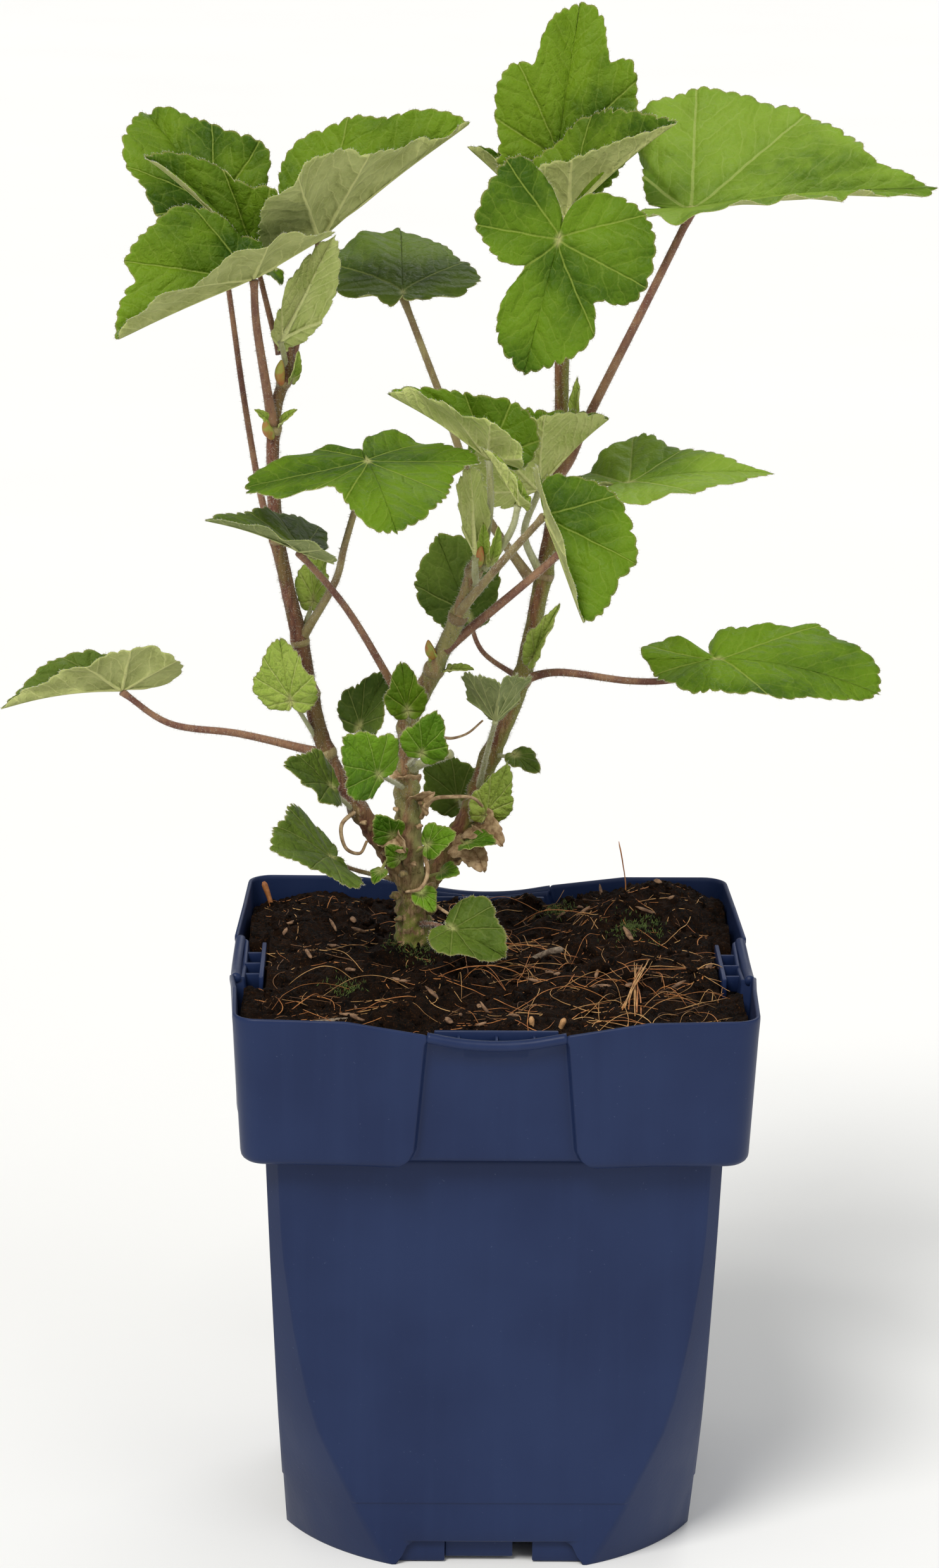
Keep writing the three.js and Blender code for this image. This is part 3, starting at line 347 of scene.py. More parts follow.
def stalk_material(name, low, high, hairy=0.25):
    """Stalks and green shoots: two tones in long streaks, with a bloom of short hairs."""
    s = Shader(name, Roughness=0.62, Sheen_Weight=hairy, Sheen_Roughness=0.4, Sheen_Tint=(1, 0.98, 0.9, 1))
    streak = s.noise(s.place(900, 900, 140), 1.4, 4, 0.6)
    blotch = s.noise(s.place(), 0.12, 3)
    colour = s.mix(s.ramp(s.times_add(blotch, 0.7, s.times(streak, 0.4)), 0.4, 0.7), low, high)
    specks = s.ramp(s.noise(s.place(), 2.2, 2), 0.6, 0.72, 0, 0.5)
    s.set("Base Color", s.mix(specks, colour, tuple(0.45 * c for c in low)))
    s.bump(s.noise(s.place(1000, 1000, 250), 1.6, 4), 0.12)
    return s.material


def bark_material(name, dark, light, green, sunny):
    """A woody stem: mossy brown at the base, then its own bark, greener in patches and to the right."""
    s = Shader(name, Roughness=0.75, Sheen_Weight=0.15, Sheen_Roughness=0.4, Specular_IOR_Level=0.2)
    height = s.parts(s.place())[2]
    shifted = s.times_add(s.noise(s.place(), 0.16, 4, 0.6), 40, height)
    streak = s.ramp(s.noise(s.place(900, 900, 120), 1.1, 4, 0.6), 0.35, 0.65)
    base = s.mix(streak, (0.17, 0.1, 0.045), (0.46, 0.31, 0.16))
    own = s.mix(streak, dark, light)
    patch = s.times(s.ramp(s.noise(s.place(500, 500, 110), 0.5, 3), 0.45, 0.6), 0.6)
    facing = s.parts(s.node("TexCoord", out="Normal"))[0]
    own = s.mix(s.calc("MAXIMUM", patch, s.ramp(facing, -0.2, 0.75, 0, sunny)), own, green)
    colour = s.mix(s.ramp(shifted, 190, FOOT_TOP), base, own)
    scar = s.ramp(s.noise(s.place(600, 600, 300), 0.7, 3), 0.6, 0.7, 0, 0.6)
    colour = s.mix(s.times(scar, s.ramp(height, 235, 205)), colour, (0.42, 0.3, 0.15))
    dots = s.ramp(s.noise(s.place(), 1.9, 2), 0.62, 0.7, 0, 0.6)
    colour = s.mix(dots, colour, tuple(0.4 * c for c in dark))
    moss = s.ramp(s.noise(s.place(), 0.5, 4, 0.7), 0.42, 0.54)
    low = s.times(s.ramp(shifted, 204, 180), 0.85)
    s.set("Base Color", s.mix(s.times(moss, low), colour, (0.17, 0.2, 0.03)))
    s.bump(s.noise(s.place(1000, 1000, 330), 1.1, 5, 0.65), 0.5)
    return s.material


def plain_material(name, low, high, scale, roughness=0.7, depth=0.15):
    """Two tones mixed by noise, with a matching bump."""
    s = Shader(name, Roughness=roughness)
    cloud = s.noise(s.place(), scale, 4, 0.6)
    s.set("Base Color", s.mix(s.ramp(cloud, 0.35, 0.65), low, high))
    s.bump(cloud, depth)
    return s.material


def soil_material(name):
    s = Shader(name, Specular_IOR_Level=0.1)
    clump = s.noise(s.place(), 0.25, 5, 0.65)
    grain = s.noise(s.place(), 1.6, 5, 0.7)
    colour = s.mix(s.ramp(clump, 0.35, 0.65), (0.0028, 0.0014, 0.0008), (0.017, 0.007, 0.0027))
    colour = s.mix(s.ramp(grain, 0.53, 0.68, 0, 0.8), colour, (0.095, 0.037, 0.012))
    bits = s.ramp(s.noise(s.place(1400, 500, 900), 0.9, 3), 0.69, 0.75, 0, 0.7)
    s.set("Base Color", s.mix(bits, colour, (0.14, 0.055, 0.016)))
    s.set("Roughness", s.ramp(grain, 0.3, 0.7, 0.6, 0.95))
    s.bump(s.times_add(clump, 0.6, grain), 1.3)
    return s.material


def pot_material(name):
    """Navy moulded plastic with long faint streaks, partly its mould's own and partly painted sheen, and a
    few scuffs.
    """
    s = Shader(name, Specular_IOR_Level=0.22)
    streak = s.noise(s.place(300, 300, 12), 0.5, 4, 0.6)
    cloud = s.ramp(s.noise(s.place(), 0.022, 3), 0.3, 0.7)
    colour = s.mix(cloud, (0.0085, 0.0185, 0.066), (0.0125, 0.0255, 0.082))
    # Paler navy along the streaks: painted sheen over the mould's faint streaks
    colour = s.mix(s.ramp(streak, 0.4, 0.75, 0, 0.3), colour, (0.017, 0.032, 0.093))
    scuff = s.ramp(s.noise(s.place(900, 900, 160), 0.4, 5, 0.75), 0.7, 0.8, 0, 0.35)
    colour = s.mix(scuff, colour, (0.05, 0.075, 0.16))
    dust = s.ramp(s.noise(s.place(), 1.3, 2), 0.72, 0.8, 0, 0.3)
    s.set("Base Color", s.mix(dust, colour, (0.12, 0.15, 0.24)))
    s.set("Roughness", s.ramp(streak, 0.3, 0.7, 0.4, 0.48))
    s.bump(s.times_add(streak, 0.8, s.noise(s.place(), 0.9, 3)), 0.05, 0.6)
    return s.material


# The figures of every look, by what makes it. Leaves have a dark and a light tone, the veins' tone, the
# spacing of side veins and the depth of relief. Bark has its green tone and how far its right side turns
# green.
LOOK_TABLE = {
    leaf_upper: {
        "leaf_upper": ((0.036, 0.085, 0.002), (0.12, 0.215, 0.008), (0.25, 0.32, 0.05), 5.6, 0.9),
        # Lighter copy of the upper side: painted light for leaves that turn away from the lamps
        "leaf_light": ((0.085, 0.16, 0.01), (0.2, 0.31, 0.03), (0.34, 0.41, 0.11), 6, 0.75),
        "leaf_deep": ((0.03, 0.075, 0.002), (0.14, 0.235, 0.01), (0.27, 0.34, 0.06)),
        # Darker olive copy of the upper side: an older leaf's darker tone and painted shade for leaves that
        # lie in shadow
        "leaf_dark": ((0.045, 0.08, 0.008), (0.1, 0.155, 0.018), (0.2, 0.24, 0.06)),
        "leaf_fresh": ((0.055, 0.14, 0.005), (0.15, 0.29, 0.015), (0.3, 0.42, 0.08), 4.4, 0.9),
        "young_upper": ((0.2, 0.3, 0.03), (0.38, 0.48, 0.09), (0.52, 0.57, 0.18), 3.4),
    },
    leaf_under: {
        "leaf_under": ((0.28, 0.31, 0.095), (0.42, 0.45, 0.17), (0.56, 0.57, 0.23)),
        # Darker copy of the felted side: painted shade on undersides that lie in shadow
        "under_dark": ((0.15, 0.19, 0.06), (0.25, 0.29, 0.11), (0.42, 0.45, 0.18)),
        "young_under": ((0.38, 0.46, 0.11), (0.52, 0.57, 0.2), (0.64, 0.66, 0.28), 3.4),
    },
    stalk_material: {
        "stalk_brown": ((0.15, 0.055, 0.035), (0.3, 0.16, 0.08)),
        "stalk_olive": ((0.19, 0.12, 0.05), (0.33, 0.27, 0.11)),
        "stalk_young": ((0.3, 0.3, 0.12), (0.46, 0.47, 0.27), 0.4),
    },
    bark_material: {
        "bark_left": ((0.1, 0.034, 0.026), (0.24, 0.11, 0.065), (0.17, 0.14, 0.04), 0.25),
        "bark_middle": ((0.19, 0.1, 0.05), (0.38, 0.23, 0.12), (0.3, 0.33, 0.11), 0.8),
        "bark_right": ((0.13, 0.045, 0.028), (0.26, 0.13, 0.06), (0.21, 0.23, 0.05), 0.85),
    },
    plain_material: {
        "bud": ((0.3, 0.34, 0.05), (0.42, 0.12, 0.04), 0.22, 0.55, 0.05),
        "dry_remains": ((0.27, 0.16, 0.075), (0.54, 0.38, 0.21), 0.6),
        "fine_hairs": ((0.55, 0.52, 0.42), (0.75, 0.74, 0.66), 0.3, 0.6, 0.01),
        "grey_twig": ((0.09, 0.06, 0.04), (0.26, 0.2, 0.14), 0.7, 0.8, 0.4),
        "pale_chip": ((0.33, 0.14, 0.04), (0.62, 0.36, 0.16), 0.5, 0.75, 0.3),
        "bark_chips": ((0.1, 0.05, 0.025), (0.3, 0.17, 0.09), 0.5, 0.8, 0.3),
        "moss": ((0.03, 0.05, 0.006), (0.09, 0.13, 0.02), 0.6, 0.9, 0.05),
        "fibre_tan": ((0.32, 0.15, 0.045), (0.58, 0.33, 0.12), 0.3, 0.6, 0.03),
        "fibre_orange": ((0.28, 0.09, 0.02), (0.55, 0.22, 0.06), 0.3, 0.6, 0.03),
        "fibre_brown": ((0.07, 0.028, 0.01), (0.2, 0.09, 0.03), 0.3, 0.7, 0.03),
    },
    soil_material: {"peat": ()},
    pot_material: {"navy_plastic": ()},
}


# Tubes and skins

def smooth_path(points, step):
    """A curve through the points, as even steps of about the given length."""
    p = np.array(points, float)
    if len(p) == 2:
        dense = p[0] + (p[1] - p[0]) * np.linspace(0, 1, 20)[:, None]
    else:
        q = np.vstack([2 * p[0] - p[1], p, 2 * p[-1] - p[-2]])
        t = np.linspace(0, 1, 24, endpoint=False)[:, None]
        spans = []
        for a, b, c, d in zip(q[:-3], q[1:-2], q[2:-1], q[3:]):
            bend = (c - a) * t + (2 * a - 5 * b + 4 * c - d) * t ** 2 + (3 * b - a - 3 * c + d) * t ** 3
            spans.append(b + bend / 2)
        dense = np.vstack([*spans, p[-1:]])
    walk = walk_along(dense)
    even = np.linspace(0, walk[-1], max(3, int(math.ceil(walk[-1] / step)) + 1))
    return np.stack([np.interp(even, walk, dense[:, k]) for k in range(3)], 1)


def square_to(path):
    """Two directions square to the path at each point, carried along it without twist."""
    ahead = unit(np.gradient(path, axis=0))
    side = unit(np.cross(ahead[0], (0.31, 0.95, 0.1)))
    sides = []
    for direction in ahead:
        side = unit(side - direction * np.dot(side, direction))
        sides.append(side)
    return np.array(sides), np.cross(ahead, sides)


def skin(soup, rings, look=None, ends=None, closed=False):
    """Quads between rings of equal counts. An open stack is capped round its ends, a closed one joins up."""
    levels, count = len(rings), len(rings[0])
    points = np.vstack(rings)
    i, k = np.meshgrid(np.arange(levels if closed else levels - 1), np.arange(count), indexing="ij")
    below, above, after = i * count, (i + 1) % levels * count, (k + 1) % count
    quads = np.stack([below + k, below + after, above + after, above + k], -1).reshape(-1, 4)
    if closed:
        soup.add(points, [quads], look)
        return
    k = np.arange(count)
    after = (k + 1) % count
    top = len(points) - count
    first = np.stack([np.full(count, len(points)), after, k], 1)
    last = np.stack([np.full(count, len(points) + 1), top + k, top + after], 1)
    if ends is None:
        ends = [rings[0].mean(0), rings[-1].mean(0)]
    soup.add(np.vstack([points, ends]), [quads, first, last], look)


def tube(soup, path, radius, sides, look=None, lumps=None):
    """A closed tube; lumps(along, turn) may change its radius by a share."""
    side, other = square_to(path)
    turn = np.arange(sides) * 2 * math.pi / sides
    radius = np.broadcast_to(radius, len(path))[:, None]
    if lumps is not None:
        radius = radius * (1 + lumps(walk_along(path)[:, None], turn[None, :]))
    ring = side[:, None] * np.cos(turn)[:, None] + other[:, None] * np.sin(turn)[:, None]
    skin(soup, path[:, None] + ring * radius[..., None], look, path[[0, -1]])


def spikes(soup, roots, directions, length, radius, look=None):
    """Fine hairs: three-sided spikes with their root sunk a little into what they grow on."""
    directions = unit(directions)
    side = unit(np.cross(directions, (0.3, 0.5, 0.81)))
    other = np.cross(directions, side)
    corners = [roots - directions * 0.1 + (side * math.cos(angle) + other * math.sin(angle)) * radius
               for angle in (0, 2.1, 4.2)]
    tips = roots + directions * np.asarray(length).reshape(-1, 1)
    points = np.stack([*corners, tips], 1).reshape(-1, 3)
    base = np.arange(len(roots))[:, None] * 4
    soup.add(points, [base + f for f in ([0, 1, 3], [1, 2, 3], [2, 0, 3], [0, 2, 1])], look)


# Pot: the same driving dimensions as the solid model's. Tables give a measure by height, and RIM_DIP by the
# distance from the middle of a side.
WALL = 1.2
BODY_HALF_FOOT = 56.8
BODY_HALF_COLLAR = 61.4
STEP_Z = 18.6
STEP_IN = 0.35
BODY_ROUND = {0: 62.5, 18: 68, 44: 76, 69: 80, 94: 83, 120: 84.5}
COLLAR_Z = 119.8
RIM_Z = 161.3
COLLAR_HALF = {COLLAR_Z: 67.9, RIM_Z: 70}
COLLAR_CORNER = 7
LEDGE_TOP = 121.2
LEDGE_IN = 6.2
LIP_EDGE = {119.8: 27, 120.6: 25, 122.2: 23, 125: 21.7, RIM_Z: 18.6}
RIM_DIP = {0: 6.3, 17.8: 4.3, 19: 3.3, 40: 0.3, 63: 0}
FLOOR_Z = 7
FLOOR_TOP = 8.4
FOOT_WALL = 1.6
# On each side: the finger tab, its ribs and the plates behind the foot gap, as ranges of x, y and z, and the
# rolled edge over the recess
TAB = ((63.2, 64.4), (-16.5, 16.5), (150, 158.2))
TAB_RIBS = [((63.8, 68.9), (t - 0.4, t + 0.4), (151, 155.6)) for t in (-10, 0, 10)]
FOOT_PLATES = [((53.4, 54.8), (-25.5, -12.3), (0.4, 7.5)), ((53.4, 54.8), (11.8, 25.5), (0.4, 7.5)),
               ((52.2, 53.6), (-12.2, 6.4), (1.2, 7.5))]
ROLLED_EDGE = [(70.6, -18.5, 156.8), (70.9, -9, 155.2), (71, 0, 154.7), (70.9, 9, 155.2), (70.6, 18.5, 156.8)]
ROLL_RADIUS = 1.45


def turned(points, turn):
    c, s = math.cos(turn), math.sin(turn)
    x, y, z = np.moveaxis(np.asarray(points, float), -1, 0)
    return np.stack([x * c - y * s, x * s + y * c, z], -1)


def all_sides(line, height):
    """A ring from the line of one side, which is repeated round the pot."""
    side = np.column_stack([line, np.broadcast_to(height, len(line))])
    return np.vstack([turned(side, QUARTER * k) for k in range(4)])


def body_ring(z, inset, feet=False):
    """One level of the pot's body; with feet, its edge is lifted in the gap between two feet."""
    half = BODY_HALF_FOOT + (BODY_HALF_COLLAR - BODY_HALF_FOOT) * z / COLLAR_Z
    half -= STEP_IN * (1 - smoothstep(STEP_Z - 0.25, STEP_Z + 0.25, z)) + inset
    r = between(BODY_ROUND, z) - inset
    edge = math.sqrt(r * r - half * half)
    start = math.atan2(edge, half)
    t = edge * np.concatenate([[-1, -0.985, -0.96], np.linspace(-0.9, 0.9, 31), [0.96, 0.985, 1]])
    angles = np.linspace(start, QUARTER - start, 17)[1:-1]
    corner = np.column_stack([r * np.cos(angles), r * np.sin(angles)])
    side = np.vstack([np.column_stack([np.full(len(t), half), t]), corner])
    if not feet:
        return all_sides(side, z)
    lift = 1 - smoothstep(21.5, 25.9, np.abs(side[:, 1]))
    return all_sides(side, z + (FLOOR_Z - 0.1 - z) * np.where(side[:, 0] >= half - 0.01, lift, 0))


def rounded(profile, radius, steps):
    """Replaces each inner corner of an open line by a short curve."""
    profile = np.array(profile, float)
    out = [profile[0]]
    for a, b, c in zip(profile[:-2], profile[1:-1], profile[2:]):
        reach = min(radius, np.linalg.norm(a - b) * 0.45, np.linalg.norm(c - b) * 0.45)
        start = b + (a - b) / np.linalg.norm(a - b) * reach
        end = b + (c - b) / np.linalg.norm(c - b) * reach
        for u in np.linspace(0, 1, steps):
            out.append(start * (1 - u) ** 2 + 2 * b * u * (1 - u) + end * u * u)
    return np.array([*out, profile[-1]])


def collar_ring(z, inset, wall=0, top_drop=None, recess_lift=0):
    """One level of the collar, with raised panels and a recess on each side."""
    out = between(COLLAR_HALF, z) - inset - wall
    corner = between(COLLAR_HALF, z) - COLLAR_CORNER
    lip = between(LIP_EDGE, z) + wall
    half = [(-corner, 0), (-40, 0.8), (-lip, 2.4), (-lip + 0.8, -0.6), (-8, -0.6), (0, -0.6)]
    line = rounded(half + [(-t, rise) for t, rise in half[-2::-1]], 0.7, 4)
    angles = np.linspace(0, QUARTER, 9)[1:-1]
    r = COLLAR_CORNER - inset - wall
    arc_points = np.column_stack([corner + r * np.cos(angles), corner + r * np.sin(angles)])
    side = np.vstack([np.column_stack([out + line[:, 1], line[:, 0]]), arc_points])
    t = np.abs(side[:, 1])
    t[len(line):] = corner
    height = z if top_drop is None else z - top_drop - between(RIM_DIP, t)
    return all_sides(side, height + recess_lift * (1 - smoothstep(lip - 1.5, lip - 0.4, t)))


def slab(soup, x, y, z, turn, round_top=0):
    """A thin plate with softened edges; x, y and z are ranges."""
    soft = min(0.3, (x[1] - x[0]) * 0.3, (y[1] - y[0]) * 0.3)

    def ring(inset, height):
        corners = []
        for number, (i, k) in enumerate(((1, 0), (1, 1), (0, 1), (0, 0))):
            for step in range(4):
                a = QUARTER * (number - 1) + QUARTER * step / 3
                px = x[i] + (1 - 2 * i) * soft + (soft - inset) * math.cos(a)
                py = y[k] + (1 - 2 * k) * soft + (soft - inset) * math.sin(a)
                off = abs(py - (y[0] + y[1]) / 2) / ((y[1] - y[0]) / 2)
                drop = round_top * smoothstep(0.72, 1, off) ** 2 if height > z[0] + 1 else 0
                corners.append((px, py, height - drop))
        return turned(corners, turn)

    skin(soup, [ring(soft * 0.9, z[0]), ring(0, z[0] + soft), ring(0, z[1] - soft),
                ring(soft * 0.3, z[1] - soft * 0.3), ring(soft * 0.9, z[1])])


def pot_side(soup, turn):
    slab(soup, *TAB, turn, round_top=1.6)
    for plate in TAB_RIBS:
        slab(soup, *plate, turn)
    tube(soup, turned(smooth_path(ROLLED_EDGE, 0.8), turn), ROLL_RADIUS, 16)
    for plate in FOOT_PLATES:
        slab(soup, *plate, turn)


def build_pot():
    soup = Soup("navy_plastic")
    under = [body_ring(FLOOR_Z, FOOT_WALL + 0.4), body_ring(FLOOR_Z - 0.05, FOOT_WALL),
             body_ring(0, FOOT_WALL, feet=True), body_ring(0, 0.3, feet=True)]
    foot = [body_ring(0, 0, feet=True), body_ring(0.5, -0.02, feet=True)]
    levels = [7.4, 12, 16, 18.2, 18.45, 18.6, 18.75, 19, 22, 30, 40, 50, 60, 70, 80, 90, 100, 110, 118, 120.4]
    outer = [body_ring(z, 0) for z in levels]
    inner = [body_ring(z, WALL) for z in (120.4, 100, 80, 60, 40, 20, FLOOR_TOP + 0.6)]
    skin(soup, under + foot + outer + inner + [body_ring(FLOOR_TOP, WALL + 0.6)])
    bottom = [(119.95, 2.5, 0.9), (119.8, 2, 1), (120, 1.3, 1), (120.6, 0.55, 0.6), (121.3, 0.15, 0.2)]
    collar = [collar_ring(z, inset, recess_lift=lift) for z, inset, lift in bottom]
    collar += [collar_ring(z, 0) for z in (122.4, 125, 132, 140, 148, 155)]
    rim = [(0, 1.4), (0.02, 0.45), (0.18, 0.12), (0.5, 0), (0.85, 0.05), (1.12, 0.3), (1.2, 1.2)]
    collar += [collar_ring(RIM_Z, inset, top_drop=drop) for inset, drop in rim]
    collar += [collar_ring(z, 0, WALL) for z in (148, 135, 125, 122)]
    ledge = [collar_ring(LEDGE_TOP, 0.6, WALL), collar_ring(LEDGE_TOP, LEDGE_IN, WALL),
             collar_ring(119.95, LEDGE_IN, WALL)]
    skin(soup, collar + ledge, closed=True)
    for k in range(4):
        pot_side(soup, QUARTER * k)
    soup.piece("pot_shell", "pot_plastic", "pot")


# Leaves: the same places and folds as the solid model's. An outline gives its radius by angle in degrees, as
# a share of the leaf's length. The common one has a rounder tip than the solids', by at most 0.7 mm.

def both_sides(half):
    """A symmetric outline from the half of it that lies at angles above zero."""
    other = {-angle: radius for angle, radius in reversed(half.items()) if 0 < angle < 180}
    return {**other, **half}


PLAIN_RIM = both_sides({0: 0.975, 9: 0.95, 22: 0.85, 40: 0.71, 56: 0.72, 70: 0.68, 90: 0.52, 118: 0.36,
                        150: 0.16, 180: 0.07})


def arc(length, start, rate):
    """A strip that leaves at an angle and bends at a steady rate: how far it gets along and up."""
    if abs(rate) < 1e-6:
        return length * math.cos(start), length * math.sin(start)
    end = start + rate * length
    return (np.sin(end) - math.sin(start)) / rate, (math.cos(start) - np.cos(end)) / rate


class Leaf:
    """A blade from its joint to its tip, its upper side facing up, and the points of its stalk.

    Thick is the stalk's radius and stem its look. The left and right half fold up by degrees and curl
    further; the midrib bends in front of the joint, and by back behind it. Width is a share across, half is
    half the blade's thickness, and relief is how far the fields between its veins bulge.
    """

    thick, bend, back, width, half, relief, curl = 0.6, 0.2, 0.3, 1, 0.24, 1, (0, 0)
    upper, under, stem, young = "leaf_upper", "leaf_under", None, False

    def __init__(self, joint, tip, up, stalk=(), rim=PLAIN_RIM, fold=(10, 10), **more):
        self.stalk, self.rim, self.fold = stalk, rim, [math.radians(a) for a in fold]
        for key, value in more.items():
            setattr(self, key, value)
        self.joint = np.array(joint, float)
        chord = np.array(tip, float) - self.joint
        reach, drop = arc(1.0, 0, self.bend)
        self.size = np.linalg.norm(chord) / math.hypot(reach, drop)
        ahead = unit(chord)
        up = np.array(up, float)
        up = unit(up - ahead * np.dot(up, ahead))
        tilt = math.atan2(-drop, reach)
        c, s = math.cos(tilt), math.sin(tilt)
        basis = np.stack([ahead, np.cross(up, ahead), up], 1)
        self.matrix = basis @ np.array([[c, 0, s], [0, 1, 0], [-s, 0, c]]) * self.size

    def place(self, x, y, rise):
        """Folds, curls and bends flat points, lifts them off the sheet and puts them in the plant's frame."""
        soft = np.hypot(y, 0.05) - 0.05
        out_left, up_left = arc(soft, self.fold[0], self.curl[0])
        out_right, up_right = arc(soft, self.fold[1], self.curl[1])
        left = y >= 0
        out = np.where(left, out_left, -out_right)
        lean = np.where(left, self.fold[0] + self.curl[0] * soft, -(self.fold[1] + self.curl[1] * soft))
        lean = lean * smoothstep(0, 0.08, np.abs(y))
        out = out - rise * np.sin(lean)
        up = np.where(left, up_left, up_right) + rise * np.cos(lean)
        front_along, front_drop = arc(np.abs(x), 0, self.bend)
        back_along, back_drop = arc(np.abs(x), 0, self.back)
        front = x >= 0
        turn = np.where(front, self.bend, self.back) * x
        along = np.where(front, front_along, -back_along) + up * np.sin(turn)
        height = up * np.cos(turn) - np.where(front, front_drop, back_drop)
        return np.stack([along, out, height], -1) @ self.matrix.T + self.joint


